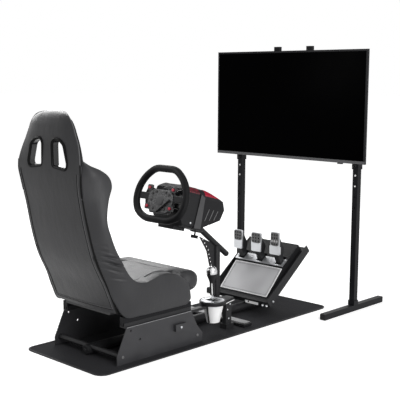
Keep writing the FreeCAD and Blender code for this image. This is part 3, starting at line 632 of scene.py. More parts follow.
@dataclass(frozen=True)
class Easel:
    """A place with three directions that flat drawings are laid on."""

    origin: Spot = (0.0, 0.0, 0.0)
    across: Spot = (1.0, 0.0, 0.0)
    along: Spot = (0.0, 1.0, 0.0)
    out: Spot = (0.0, 0.0, 1.0)

    def world(self, points: Array) -> Array:
        """Points given by across, along and out, in the shared frame."""
        return np.asarray(self.origin) + points @ np.array([self.across, self.along, self.out])

    def moved(self, across: float, along: float, out: float) -> Easel:
        """The same directions from another spot on this easel."""
        spot = self.world(np.array([across, along, out]))
        return Easel(tuple(spot), self.across, self.along, self.out)

    def facing_back(self) -> Easel:
        """Drawing laid on the upright plane of this easel, looked at from behind."""
        return Easel(self.origin, self.across, self.out, tuple(-part for part in self.along))

    def facing_ahead(self) -> Easel:
        """Drawing laid on the upright plane of this easel, its out direction ahead."""
        return Easel(self.origin, self.across, self.out, self.along)

    def facing_side(self, sign: float) -> Easel:
        """Drawing laid on the side plane of this easel, looked at from that side."""
        return Easel(self.origin, self.along, self.out, tuple(sign * part for part in self.across))


def leaning(origin: Spot, degrees: float) -> Easel:
    """An easel turned about the X direction."""
    c, s = math.cos(math.radians(degrees)), math.sin(math.radians(degrees))
    return Easel(origin, (1.0, 0.0, 0.0), (0.0, c, s), (0.0, -s, c))


TRAY_LEAN = 37.6
GROUND = Easel()
WHEEL_EASEL = leaning((0.0, -0.198, 0.644), -15.0)
TRAY_EASEL = leaning((0.0, 0.358, 0.077), TRAY_LEAN)


class Rider(Enum):
    """Bodies of the set that pieces ride on."""

    BASE = "stand_base"
    SEAT = "seat"
    MOUNT = "wheel_mount"
    WHEEL = "wheel"
    CLUTCH = "clutch"
    BRAKE = "brake"
    THROTTLE = "throttle"
    LEVER = "gear_lever"
    SCREEN = "screen"


class Forge:
    """Makes closed meshes that ride on one body."""

    def __init__(self, body: Rider, wardrobe: Wardrobe) -> None:
        """Keep the body and the finishes."""
        self.body = body
        self.wardrobe = wardrobe

    def mesh(self, name: str, points: Array, faces: list[Any], look: Look,
             crisp: float = CRISP) -> bpy.types.Object:
        """Piece from points and faces, turned so that every face looks outward.

        Args:
            name: The piece's name.
            points: Corner points in the shared frame.
            faces: Corner numbers of each face.
            look: The piece's finish.
            crisp: Angle in degrees from which an edge stays sharp.

        Returns:
            The finished object.
        """
        volume = 0.0
        for corners in {len(face) for face in faces}:
            flat = np.array([face for face in faces if len(face) == corners])
            for k in range(1, corners - 1):
                cross = np.cross(points[flat[:, k]], points[flat[:, k + 1]])
                volume += np.sum(points[flat[:, 0]] * cross)
        if volume < 0:
            faces = [list(face)[::-1] for face in faces]
        mesh = bpy.data.meshes.new(name)
        mesh.from_pydata(points.tolist(), [], [list(map(int, face)) for face in faces])
        mesh.polygons.foreach_set("use_smooth", np.ones(len(mesh.polygons), bool))
        mesh.set_sharp_from_angle(angle=math.radians(crisp))
        mesh.materials.append(self.wardrobe.finish[look])
        piece = bpy.data.objects.new(name, mesh)
        bpy.context.scene.collection.objects.link(piece)
        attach(piece, self.body.value)
        LOG.info("%s on %s", name, self.body.value)
        return piece

    def loft(self, name: str, loops: Array, look: Look, ring: bool = False,
             crisp: float = CRISP) -> bpy.types.Object:
        """Skin over closed loops, joined end to end or closed by a pole at each end.

        Args:
            name: The piece's name.
            loops: Points, shape (loops, points in a loop, 3).
            look: The piece's finish.
            ring: Whether the last loop meets the first.
            crisp: Angle in degrees from which an edge stays sharp.

        Returns:
            The finished object.
        """
        rows, cols, _ = loops.shape
        index = np.arange(rows * cols).reshape(rows, cols)
        lower = index if ring else index[:-1]
        upper = np.roll(index, -1, axis=0) if ring else index[1:]
        quads = np.stack([lower, np.roll(lower, -1, 1), np.roll(upper, -1, 1), upper], -1).reshape(-1, 4)
        points = loops.reshape(-1, 3)
        faces = list(quads)
        if not ring:
            poles = np.array([loops[0].mean(axis=0), loops[-1].mean(axis=0)])
            points = np.vstack([points, poles])
            first, last = rows * cols, rows * cols + 1
            faces += [(b, a, first) for a, b in zip(index[0], np.roll(index[0], -1))]
            faces += [(a, b, last) for a, b in zip(index[-1], np.roll(index[-1], -1))]
        return self.mesh(name, points, faces, look, crisp)

    def tube(self, name: str, path: Array, radius: float, look: Look, ring: bool = False,
             sides: int = 8) -> bpy.types.Object:
        """Round tube along a path, its section carried on without twist.

        Args:
            name: The piece's name.
            path: Centre points, shape (points, 3).
            radius: Radius of the tube.
            look: The piece's finish.
            ring: Whether the path is closed.
            sides: Points around the section.

        Returns:
            The finished object.
        """
        first_lead = (0.3, 0.5, 0.81)
        if ring:
            run = np.roll(path, -1, axis=0) - np.roll(path, 1, axis=0)
        else:
            run = np.gradient(path, axis=0)
        run /= np.linalg.norm(run, axis=1)[:, None]
        lead = np.cross(run[0], first_lead)
        section = radius * circle(sides)
        loops = []
        for spot, way in zip(path, run):
            lead = lead - way * np.dot(lead, way)
            lead /= np.linalg.norm(lead)
            loops.append(spot + section @ np.array([lead, np.cross(way, lead)]))
        return self.loft(name, np.array(loops), look, ring, CRISP_SOFT)

    def lathe(self, name: str, profile: Any, easel: Easel, look: Look,
              sides: int = 36) -> bpy.types.Object:
        """Turned piece: each (radius, height) of the profile swept about the easel's out direction.

        Args:
            name: The piece's name.
            profile: Radius and height of each ring, from the foot on.
            easel: Where the piece stands.
            look: The piece's finish.
            sides: Points around each ring.

        Returns:
            The finished object.
        """
        rings = np.array([lifted(radius * circle(sides), height) for radius, height in profile])
        return self.loft(name, easel.world(rings), look, crisp=CRISP_TURNED)

    def slab(self, name: str, outline: Array, span: Pair, easel: Easel, look: Look,
             edge: float = 0.001) -> bpy.types.Object:
        """Flat piece: an outline carried from low to high, its edges broken by a small bevel.

        Args:
            name: The piece's name.
            outline: Points of the outline, shape (points, 2).
            span: Where the piece starts and ends along the easel's out direction.
            easel: What the outline is drawn on.
            look: The piece's finish.
            edge: Size of the bevel.

        Returns:
            The finished object.
        """
        low, high = span
        levels = ((-edge, low), (0.0, low + edge), (0.0, high - edge), (-edge, high))
        loops = np.array([lifted(grown(outline, size), height) for size, height in levels])
        rows, cols, _ = loops.shape
        index = np.arange(rows * cols).reshape(rows, cols)
        ahead = np.roll(index, -1, axis=1)
        faces = list(np.stack([index[:-1], ahead[:-1], ahead[1:], index[1:]], -1).reshape(-1, 4))
        faces += [index[0][::-1], index[-1]]
        return self.mesh(name, easel.world(loops.reshape(-1, 3)), faces, look, CRISP_FLAT)

    def bolt(self, name: str, easel: Easel, radius: float, height: float,
             look: Look = Look.BRIGHT) -> bpy.types.Object:
        """Button-head bolt with a round recess in its crown."""
        return self.lathe(name, np.asarray(BOLT) * (radius, height), easel, look, 24)

    def carve(self, piece: bpy.types.Object, cutters: Sequence[bpy.types.Object]) -> None:
        """Cut the cutters out of a piece and remove them.

        Args:
            piece: What is cut.
            cutters: Closed solids to take away.
        """
        for cutter in cutters:
            cut = piece.modifiers.new("belt_slot", "BOOLEAN")
            cut.object = cutter
            cut.solver = "EXACT"
        graph = bpy.context.evaluated_depsgraph_get()
        baked = bpy.data.meshes.new_from_object(piece.evaluated_get(graph))
        piece.modifiers.clear()
        piece.data = baked
        for cutter in cutters:
            bpy.data.objects.remove(cutter)


@dataclass
class BucketSeat:
    """Padded bucket seat: rear panel, pad, side covers, cushion and front roll."""

    forge: Forge
    # rear panel from foot to crown: depth, height and half width of its rear face
    panel: Table = (
        (-0.623, 0.220, 0.200), (-0.668, 0.330, 0.197), (-0.724, 0.445, 0.194), (-0.752, 0.540, 0.192),
        (-0.778, 0.660, 0.190), (-0.797, 0.755, 0.196), (-0.802, 0.800, 0.203), (-0.802, 0.836, 0.201),
        (-0.800, 0.887, 0.187), (-0.797, 0.955, 0.154), (-0.793, 0.995, 0.133), (-0.789, 1.012, 0.118),
        (-0.783, 1.024, 0.102), (-0.774, 1.031, 0.082), (-0.763, 1.0345, 0.058), (-0.752, 1.0355, 0.030))
    # how many of its rows carry the welt beside the side cover
    welt_rows: int = 8
    panel_thick: float = 0.024
    panel_tip: float = 0.011
    panel_crown: float = 0.006
    # how far the rear face rolls forward at the edges of the head part, and where the roll starts
    head_roll: Pair = (0.011, 0.50)
    # height and length over which the head part sets in, and its tip
    head_span: Pair = (0.835, 0.085)
    tip_span: Pair = (0.960, 0.078)
    # notch in both edges of the panel: height, depth, half length
    notch: Spot = (0.462, 0.008, 0.009)
    # pad in front of the panel: depth and height of its rear face, half width, thickness
    pad: Table = (
        (-0.600, 0.222, 0.140, 0.020), (-0.645, 0.330, 0.147, 0.026), (-0.701, 0.445, 0.148, 0.030),
        (-0.729, 0.540, 0.148, 0.028), (-0.755, 0.660, 0.148, 0.027), (-0.774, 0.755, 0.146, 0.026),
        (-0.777, 0.790, 0.142, 0.022), (-0.778, 0.806, 0.136, 0.014), (-0.779, 0.814, 0.130, 0.006))
    # quilted lines of the pad: share across, half width of the line, depth
    quilt: Spot = (0.54, 0.09, 0.35)
    # belt slot of the right side, across and up
    slot: Table = (
        (0.038, 0.824), (0.116, 0.816), (0.124, 0.832), (0.102, 0.905), (0.078, 0.922), (0.050, 0.927),
        (0.036, 0.912))
    slot_round: float = 0.009
    # rim of a belt slot: how far in and out it reaches; depth at its inner, middle, two outer, inner points
    rim_reach: Pair = (-0.001, 0.011)
    rim_depth: tuple[float, ...] = (-0.805, -0.8110, -0.807, -0.799, -0.777)
    # smooth liner of its wall: how far in it starts and ends, depth of its rear and front edge
    liner_reach: Pair = (-0.0022, -0.0008)
    liner_depth: Pair = (-0.8025, -0.7785)
    # side cover: seam (depth, height), lip (depth, height), how far out seam, lip and inner lip lie
    cover: Table = (
        (-0.790, 0.846, -0.784, 0.855, 0.186, 0.190, 0.180),
        (-0.794, 0.822, -0.761, 0.834, 0.197, 0.213, 0.182),
        (-0.797, 0.790, -0.722, 0.813, 0.205, 0.236, 0.174),
        (-0.792, 0.745, -0.688, 0.784, 0.202, 0.245, 0.166),
        (-0.785, 0.705, -0.678, 0.752, 0.199, 0.248, 0.162),
        (-0.775, 0.660, -0.695, 0.696, 0.196, 0.248, 0.160),
        (-0.759, 0.590, -0.703, 0.610, 0.195, 0.248, 0.158),
        (-0.745, 0.530, -0.685, 0.553, 0.196, 0.248, 0.158),
        (-0.730, 0.480, -0.662, 0.499, 0.198, 0.248, 0.158),
        (-0.706, 0.418, -0.628, 0.440, 0.201, 0.248, 0.158),
        (-0.672, 0.345, -0.594, 0.387, 0.206, 0.248, 0.160),
        (-0.638, 0.265, -0.553, 0.351, 0.214, 0.248, 0.162),
        (-0.597, 0.204, -0.503, 0.339, 0.227, 0.250, 0.164),
        (-0.520, 0.200, -0.458, 0.347, 0.238, 0.251, 0.166),
        (-0.430, 0.200, -0.405, 0.358, 0.242, 0.252, 0.168),
        (-0.350, 0.200, -0.345, 0.352, 0.243, 0.252, 0.168),
        (-0.290, 0.200, -0.290, 0.324, 0.243, 0.251, 0.170),
        (-0.258, 0.201, -0.256, 0.292, 0.241, 0.247, 0.172),
        (-0.244, 0.206, -0.244, 0.255, 0.234, 0.238, 0.180))
    # first row of the cover that carries the thigh's piping
    thigh_row: int = 13
    cover_bulge: float = 0.013
    # back of the cover: share of the span at the inner lip and at the root, how far in the root lies
    cover_back: Spot = (0.985, 0.10, 0.004)
    # roundings of the cover's face, lip, inner lip, root and seam
    cover_round: tuple[float, ...] = (0.004, 0.044, 0.022, 0.010, 0.005)
    # creases of the side cover: from and to (depth, height), depth of the fold
    creases: Table = (
        (-0.748, 0.510, -0.700, 0.492, 0.0070), (-0.742, 0.482, -0.655, 0.459, 0.0090),
        (-0.728, 0.458, -0.620, 0.423, 0.0090), (-0.718, 0.432, -0.628, 0.398, 0.0056),
        (-0.738, 0.520, -0.704, 0.516, 0.0034), (-0.690, 0.385, -0.610, 0.368, 0.0030))
    crease_width: float = 0.0046
    # share of a crease's depth that rises again beside it
    crease_lip: float = 0.45
    # cushion along its length: depth, top height, half width
    cushion: Table = (
        (-0.612, 0.314, 0.150), (-0.580, 0.318, 0.158), (-0.480, 0.328, 0.162), (-0.380, 0.336, 0.163),
        (-0.300, 0.339, 0.163), (-0.250, 0.338, 0.163), (-0.212, 0.336, 0.163), (-0.192, 0.333, 0.163),
        (-0.180, 0.327, 0.162), (-0.174, 0.310, 0.160))
    cushion_low: float = 0.202
    cushion_hollow: float = 0.005
    # front roll: corners of its section
    roll: Table = (
        (-0.275, 0.250), (-0.222, 0.246), (-0.188, 0.258), (-0.175, 0.292), (-0.176, 0.324),
        (-0.196, 0.338), (-0.256, 0.339), (-0.292, 0.300))
    roll_half: float = 0.246
    roll_end: float = 0.050
    # radii of the sewn lines
    thigh_piping: float = 0.0028
    back_welt: float = 0.0046
    shoulder_welt: float = 0.0024
    panel_piping: float = 0.0017
    fine_welt: float = 0.0019
    head_piping: float = 0.0022
    head_welt: float = 0.0028
    # heights where the shoulder's welt sets in, where the panel's piping ends, where the head's lines run
    shoulder_up: float = 0.70
    piping_up: Pair = (0.235, 0.80)
    head_up: Pair = (0.825, 1.006)
    # where the sewn lines lie: thigh piping out, ahead and down from the inner lip
    thigh_offset: Spot = (0.018, 0.002, 0.001)
    # back welt out and ahead of the panel's edge, and how much further back its shoulder part lies
    welt_offset: Spot = (0.001, 0.005, 0.004)
    # panel piping in from the edge and back, and the fine welt in and back from it
    piping_offset: Pair = (0.013, 0.0004)
    fine_offset: Pair = (0.0036, 0.0006)
    # foot piping back and up from the panel's foot, and how the crown moves it back and down
    foot_offset: Pair = (0.0085, 0.0205)
    foot_crown: Pair = (0.93, 0.38)
    foot_welt: Spot = (0.0, 0.0012, -0.0034)
    # head piping in from the edge and ahead of the rear face
    head_offset: Pair = (0.001, 0.002)
    # head welt: how far ahead of the piping, how far in, how much further at its upper end,
    # height and length over which it sinks
    head_flank: tuple[float, ...] = (0.0064, 0.0006, 0.0060, 0.950, 0.056)

    def build(self) -> None:
        """Make every soft piece of the seat and lay the solids' soft nodes aside.

        The belt slots are cut out of the rear panel before it takes the place of the solid's seat back.
        """
        shell = self._panel()
        pad = self._pad()
        self.forge.carve(shell, [self._cutter(side) for _, side in SIDES])
        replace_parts(shell, "seat_back")
        for word, side in SIDES:
            self._slot_rim(word, side)
            cover = self._cover(word, side)
            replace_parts(cover, word + "_back_bolster", word + "_thigh_bolster")
            self._piping(word, side)
            self._seam(word, side)
        self._foot_seam()
        self._head_piping()
        cushion = self._cushion()
        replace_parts(cushion, "seat_cushion")
        self._front_roll()

    def _along_back(self, line: Array, corners: Array, cuts: Any) -> Array:
        """Loops across the seat back: rounded sections carried along a side line, square to it.

        Args:
            line: Depth and height of each section.
            corners: Section corners (across, forward), shape (sections, corners, 2).
            cuts: Length cut off at each corner.

        Returns:
            Points, shape (sections, points, 3).
        """
        way = np.gradient(line, axis=0)
        way /= np.linalg.norm(way, axis=1)[:, None]
        section = rounded(corners, cuts, 7)
        depth = section[..., 1]
        return np.stack([section[..., 0], line[:, None, 0] + way[:, None, 1] * depth,
                         line[:, None, 1] - way[:, None, 0] * depth], -1)

    def _head_shares(self, up: Array) -> tuple[Array, Array]:
        """How far each height belongs to the head part, and to its tip.

        Args:
            up: Heights on the seat back.

        Returns:
            Shares of the head part, and squared shares of the tip.
        """
        head, tip = (np.clip((up - start) / length, 0.0, 1.0)
                     for start, length in (self.head_span, self.tip_span))
        return head, tip**2

    def _panel(self) -> bpy.types.Object:
        """Rear panel that rolls over the top of the head part, a little crowned across.

        The rear face lies at minus the crown times one less the share squared; in the head part its
        edges fall forward with the square of the share beyond the roll's start. The notch is a bell
        curve in its half width.

        Returns:
            The panel.
        """
        rows = spline(self.panel, 110)
        up = rows[:, 1]
        middle, deep, long = self.notch
        half = rows[:, 2] - deep * np.exp(-((up - middle) / long) ** 2)
        head, tip = self._head_shares(up)
        thick = self.panel_thick + (self.panel_tip - self.panel_thick) * tip
        share = np.linspace(-0.96, 0.96, 17)
        drop, start = self.head_roll
        fall = np.clip((np.abs(share) - start) / (1 - start), 0.0, 1.0) ** 2
        edge = drop * head * (1 - tip)
        depth = np.outer(edge, fall) - self.panel_crown * (1 - share**2)
        rear = np.stack([np.outer(half, share), depth], -1)
        flanks = ((half, edge), (half, thick), (-half, thick), (-half, edge))
        ends = np.stack([np.stack(pair, -1) for pair in flanks], 1)
        corners = np.concatenate([rear, ends], axis=1)
        cuts = np.array([0.006] * len(share) + [0.007, 0.009, 0.009, 0.007])
        loops = self._along_back(rows[:, :2], corners, cuts)
        return self.forge.loft("seat_rear_panel", loops, Look.LEATHER, crisp=CRISP_PANEL)

    def _pad(self) -> bpy.types.Object:
        """Pad between the wings, fuller towards the middle, with two quilted lines.

        Its front lies at the thickness times a fixed part and a part that falls with the fourth power
        of the share across, less a bell curve at each quilted line.

        Returns:
            The pad.
        """
        fixed, full = 0.45, 0.55
        rows = spline(self.pad, 110)
        half, thick = rows[:, 2], rows[:, 3]
        share = np.linspace(-0.9, 0.9, 11)
        line, width, deep = self.quilt
        quilt = 1 - deep * np.exp(-((np.abs(share) - line) / width) ** 2)
        front = np.stack([np.outer(half, share), np.outer(thick, fixed + full * (1 - share**4) * quilt)], -1)
        none = np.zeros_like(half)
        rear = np.stack([np.stack([half, none], -1), np.stack([-half, none], -1)], 1)
        corners = np.concatenate([front[:, ::-1], rear[:, ::-1]], axis=1)
        loops = self._along_back(rows[:, :2], corners, 0.008)
        return self.forge.loft("seat_back_pad", loops, Look.LEATHER, crisp=CRISP_SOFT)

    def _slot_line(self, side: float, size: float) -> Array:
        """Rounded outline of one belt slot, grown by a size."""
        corners = np.asarray(self.slot) * (side, 1.0)
        return grown(rounded(corners, self.slot_round), size)

    def _cutter(self, side: float) -> bpy.types.Object:
        """Block with a belt slot's outline, as deep as the seat back."""
        outline = self._slot_line(side, 0.001)
        return self.forge.slab("slot_cutter", outline, (0.6, 0.9), GROUND.facing_back(), Look.PLASTIC)

    def _slot_rim(self, word: str, side: float) -> None:
        """Moulded rim of a belt slot and the smooth liner of its wall: sections carried round its outline.

        Args:
            word: The side's name.
            side: Minus one for the left side, one for the right.
        """
        inner, outer = (self._slot_line(side, reach) for reach in self.rim_reach)
        walls = (inner, (inner + outer) / 2, outer, outer, inner)
        loops = np.stack([lifted(wall, depth) for wall, depth in zip(walls, self.rim_depth)], 1)
        self.forge.loft(word + "_slot_rim", loops[..., [0, 2, 1]], Look.WELT, ring=True)
        inner, outer = (self._slot_line(side, reach) for reach in self.liner_reach)
        rear, front = self.liner_depth
        walls = ((inner, rear), (outer, rear), (outer, front), (inner, front))
        loops = np.stack([lifted(wall, depth) for wall, depth in walls], 1)
        self.forge.loft(word + "_slot_liner", loops[..., [0, 2, 1]], Look.GLOSS, ring=True)

    def _fold(self, side_points: Array) -> Array:
        """Depth of the creases at points of the side cover.

        Each is a bell curve of the distance from its line, less a smaller one two widths away, and
        fades towards both ends with the sine of its share.

        Args:
            side_points: Depth and height of each point.

        Returns:
            How far each point sinks in.
        """
        sunk = np.zeros(side_points.shape[:-1])
        for y0, z0, y1, z1, deep in self.creases:
            start, run = np.array([y0, z0]), np.array([y1 - y0, z1 - z0])
            share = np.clip((side_points - start) @ run / (run @ run), 0.0, 1.0)
            gap = side_points - start - share[..., None] * run
            away = np.linalg.norm(gap, axis=-1) / self.crease_width
            fade = np.sin(np.pi * (0.12 + 0.8 * share))
            sunk += deep * fade * (np.exp(-away**2) - self.crease_lip * np.exp(-((away - 2.0) ** 2)))
        return sunk

    def _cover(self, word: str, side: float) -> bpy.types.Object:
        """One cover from the shoulder to the knee: a padded section carried between seam and lip.

        The outer face runs straight from seam to lip and swells by the bulge times the sine of half
        a turn on the way; the creases sink it.

        Args:
            word: The side's name.
            side: Minus one for the left side, one for the right.

        Returns:
            The cover.
        """
        rows = spline(self.cover, 300)
        seam, lip = rows[:, 0:2], rows[:, 2:4]
        root, rim, inner = rows[:, 4], rows[:, 5], rows[:, 6]
        span = np.linalg.norm(lip - seam, axis=1)
        way = (lip - seam) / span[:, None]
        share = np.linspace(0.12, 0.86, 14)
        swell = self.cover_bulge * np.sin(np.pi * share)
        face = np.stack([np.outer(span, share), root[:, None] + np.outer(rim - root, share) + swell], -1)
        near, far, deep = self.cover_back
        flanks = ((span, rim), (span * near, inner), (span * far, inner - deep), (span * 0.0, root))
        ends = np.stack([np.stack(pair, -1) for pair in flanks], 1)
        corners = np.concatenate([face, ends], axis=1)
        cuts = np.array([self.cover_round[0]] * len(share) + list(self.cover_round[1:]))
        section = rounded(corners, cuts, 5)
        flat = seam[:, None, :] + way[:, None, :] * section[..., 0:1]
        outer = np.clip((section[..., 1] - inner[:, None]) / (rim - inner)[:, None], 0.0, 1.0) ** 2
        across = section[..., 1] - self._fold(flat) * outer
        loops = np.concatenate([side * across[..., None], flat], axis=-1)
        return self.forge.loft(word + "_side_cover", loops, Look.LEATHER, crisp=CRISP_SOFT)

    def _piping(self, word: str, side: float) -> None:
        """Sewn edge over the thigh's front end.

        Args:
            word: The side's name.
            side: Minus one for the left side, one for the right.
        """
        depth, up, inner = spline(self.cover[self.thigh_row:], 60).T[[2, 3, 6]]
        out, ahead, down = self.thigh_offset
        path = np.column_stack([side * (inner + out), depth + ahead, up - down])
        self.forge.tube(word + "_thigh_piping", path, self.thigh_piping, Look.PIPING)

    def _seam(self, word: str, side: float) -> None:
        """Dark welt in the joint between panel and side cover, and the piping beside it on the panel.

        Args:
            word: The side's name.
            side: Minus one for the left side, one for the right.
        """
        depth, up, half = spline(self.panel[:self.welt_rows], 90).T
        out, ahead, rear = self.welt_offset
        path = np.column_stack([side * (half + out), depth + ahead, up])
        upper = up > self.shoulder_up
        self.forge.tube(word + "_back_welt", path[~upper], self.back_welt, Look.WELT, sides=10)
        shoulder = path[upper] - (0.0, rear, 0.0)
        self.forge.tube(word + "_shoulder_welt", shoulder, self.shoulder_welt, Look.WELT)
        low, high = self.piping_up
        inward, back = self.piping_offset
        path = np.column_stack([side * (half - inward), depth - back, up])[(up > low) & (up < high)]
        self.forge.tube(word + "_panel_piping", path, self.panel_piping, Look.PIPING)
        inward, back = self.fine_offset
        self.forge.tube(word + "_panel_welt", path - (side * inward, back, 0.0), self.fine_welt, Look.WELT)

    def _foot_seam(self) -> None:
        """Welt and piping across the foot of the rear panel.

        Both follow the panel's crown, a little above its lower edge.
        """
        share = np.linspace(-0.93, 0.93, 60)
        depth, up, half = self.panel[0]
        rear, rise = self.foot_offset
        back, down = self.foot_crown
        crown = self.panel_crown * (1 - share**2)
        path = np.column_stack([half * share, depth - rear - crown * back, up + rise - crown * down])
        self.forge.tube("panel_foot_piping", path, self.fine_welt, Look.PIPING)
        self.forge.tube("panel_foot_welt", path + self.foot_welt, self.fine_welt, Look.WELT)

    def _head_piping(self) -> None:
        """Piping round the head part and a welt on each flank.

        The piping runs along the rear edge of the panel, up one side and down the other; each welt
        sinks into the panel towards its upper end.
        """
        start, end = self.head_up
        rows = spline(self.panel, 110)
        rows = rows[rows[:, 1] > start]
        head, tip = self._head_shares(rows[:, 1])
        inward, ahead = self.head_offset
        back = rows[:, 0] + ahead + self.head_roll[0] * head * (1 - tip)
        right = np.column_stack([rows[:, 2] - inward, back, rows[:, 1]])
        path = np.vstack([right, right[::-1] * (-1.0, 1.0, 1.0)])
        self.forge.tube("head_rear_piping", path, self.head_piping, Look.PIPING)
        ahead, sunk, deeper, low, long = self.head_flank
        flank = right[right[:, 2] < end] + (0.0, ahead, 0.0)
        flank[:, 0] -= sunk + deeper * np.clip((flank[:, 2] - low) / long, 0.0, 1.0) ** 2
        for word, side in SIDES:
            self.forge.tube(word + "_head_welt", flank * (side, 1.0, 1.0), self.head_welt, Look.WELT)

    def _cushion(self) -> bpy.types.Object:
        """Cushion with a flat top that is a little hollow in the middle.

        The top lies at the row's height less the hollow times one less the share squared.

        Returns:
            The cushion.
        """
        rows = spline(self.cushion, 90)
        depth, up, half = rows.T
        share = np.linspace(-0.93, 0.93, 13)
        upper = np.stack([np.outer(half, share), up[:, None] - self.cushion_hollow * (1 - share**2)], -1)
        low = np.full(len(rows), self.cushion_low)
        lower = np.stack([np.stack([half, low], -1), np.stack([-half, low], -1)], 1)
        section = rounded(np.concatenate([upper, lower], axis=1), 0.012, 4)
        depth = np.repeat(depth[:, None], section.shape[1], axis=1)
        loops = np.stack([section[..., 0], depth, section[..., 1]], -1)
        return self.forge.loft("seat_cushion_pad", loops, Look.LEATHER, crisp=CRISP_SOFT)

    def _front_roll(self) -> bpy.types.Object:
        """Round roll across the front of the cushion, drawn in at its ends.

        Over each end the section shrinks to its middle with the root of one less nine tenths of the
        squared share that is left to the full section.

        Returns:
            The roll.
        """
        steps = np.linspace(0.0, 1.0, 12)
        across = np.concatenate([steps, steps[::-1]])
        draw = np.sqrt(1 - (1 - across) ** 2 * 0.9)
        near = self.roll_end * steps - self.roll_half
        reach = np.concatenate([near, -near[::-1]])
        outline = rounded(np.asarray(self.roll), 0.02)
        middle = outline.mean(axis=0)
        flat = middle + (outline - middle)[None] * draw[:, None, None]
        loops = np.concatenate([np.repeat(reach[:, None, None], len(outline), 1), flat], axis=-1)
        return self.forge.loft("seat_front_roll", loops, Look.LEATHER, crisp=CRISP_SOFT)


@dataclass
class SteeringWheel:
    """Rim, hub face with its keys, spokes and the paddles behind.

    Each span is a low and a high measure out of the hub's plane, towards the driver.
    """

    forge: Forge
    easel: Easel = WHEEL_EASEL
    rim_half: Table = (
        (0.070, 0.144), (0.131, 0.101), (0.170, 0.041), (0.177, -0.029), (0.149, -0.089), (0.083, -0.122))
    rim_round: float = 0.034
    rim_along: float = 0.014
    rim_radius: float = 0.0165
    hub_half: Table = ((0.056, 0.030), (0.078, 0.008), (0.078, -0.046), (0.056, -0.073))
    hub_round: float = 0.014
    hub_span: Pair = (-0.018, -0.0095)
    cap: Table = ((0.023, -0.0100), (0.023, -0.0080), (0.020, -0.0072), (0.012, -0.0070), (0.001, -0.0070))
    cap_up: float = -0.018
    # stalk across the hub: both ends (across, up, out)
    stalk: Table = ((0.066, -0.012, -0.0035), (-0.004, -0.070, -0.0035))
    stalk_radius: float = 0.0048
    spoke: Box = (0.080, 0.149, -0.017, 0.010)
    spoke_span: Pair = (-0.018, -0.013)
    pods: Table = ((0.076, 0.035), (0.074, -0.050))
    pod: Box = (-0.017, 0.017, -0.014, 0.014)
    pod_span: Pair = (-0.018, -0.0075)
    red_key: Table = ((0.0068, -0.008), (0.0068, -0.003), (0.0056, -0.0015), (0.001, -0.0012))
    keys: Table = ((0.052, 0.010), (0.056, -0.020), (0.036, -0.056), (0.030, 0.020))
    key: Table = ((0.0062, -0.010), (0.0062, -0.0072), (0.005, -0.0062), (0.001, -0.006))
    paddle: Table = ((0.050, 0.030), (0.112, 0.046), (0.129, 0.010), (0.116, -0.048), (0.062, -0.042))
    paddle_span: Pair = (-0.038, -0.0345)

    def build(self) -> None:
        """Make the wheel's pieces.

        The rim comes first, then the hub's face with cap and stalk, then each side.
        """
        self._rim()
        face = self.easel.facing_back()
        outline = rounded(mirrored(self.hub_half), self.hub_round)
        self.forge.slab("hub_face", outline, self.hub_span, face, Look.HUB, 0.002)
        self.forge.lathe("hub_cap", self.cap, face.moved(0.0, self.cap_up, 0.0), Look.STRAP)
        stalk = face.world(np.linspace(*self.stalk, 24))
        self.forge.tube("hub_stalk", stalk, self.stalk_radius, Look.GLOSS, sides=12)
        for word, side in SIDES:
            self._side(word, side, face)

    def _rim(self) -> None:
        """Round section carried along the middle line of the rim's outline.

        The middle line is the rounded outline, drawn in by the section's radius.
        """
        outline = grown(rounded(mirrored(self.rim_half), self.rim_round, 14), -self.rim_radius)
        path = lifted(outline, self.rim_along)[:, [0, 2, 1]]
        rim = self.forge.tube("wheel_rim_grip", self.easel.world(path), self.rim_radius, Look.SUEDE, True, 20)
        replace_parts(rim, "wheel_rim")

    def _side(self, word: str, side: float, face: Easel) -> None:
        """Spoke cover, key pods, small keys and the paddle of one side.

        Args:
            word: The side's name.
            side: Minus one for the left side, one for the right.
            face: The hub's plane, looked at from behind.
        """
        spoke = rounded(block(*self.spoke) * (side, 1.0), 0.004)
        self.forge.slab(word + "_spoke_cover", spoke, self.spoke_span, face, Look.PLASTIC)
        pod = rounded(block(*self.pod), 0.008)
        for number, (across, up) in enumerate(self.pods):
            spot = face.moved(side * across, up, 0.0)
            self.forge.slab(f"{word}_pod_{number}", pod, self.pod_span, spot, Look.GLOSS, 0.002)
            self.forge.lathe(f"{word}_red_key_{number}", self.red_key, spot, Look.RED, 28)
        for number, (across, up) in enumerate(self.keys):
            spot = face.moved(side * across, up, 0.0)
            self.forge.lathe(f"{word}_small_key_{number}", self.key, spot, Look.GLOSS, 20)
        blade = rounded(np.asarray(self.paddle) * (side, 1.0), 0.012)
        self.forge.slab(word + "_paddle", blade, self.paddle_span, face, Look.GLOSS)


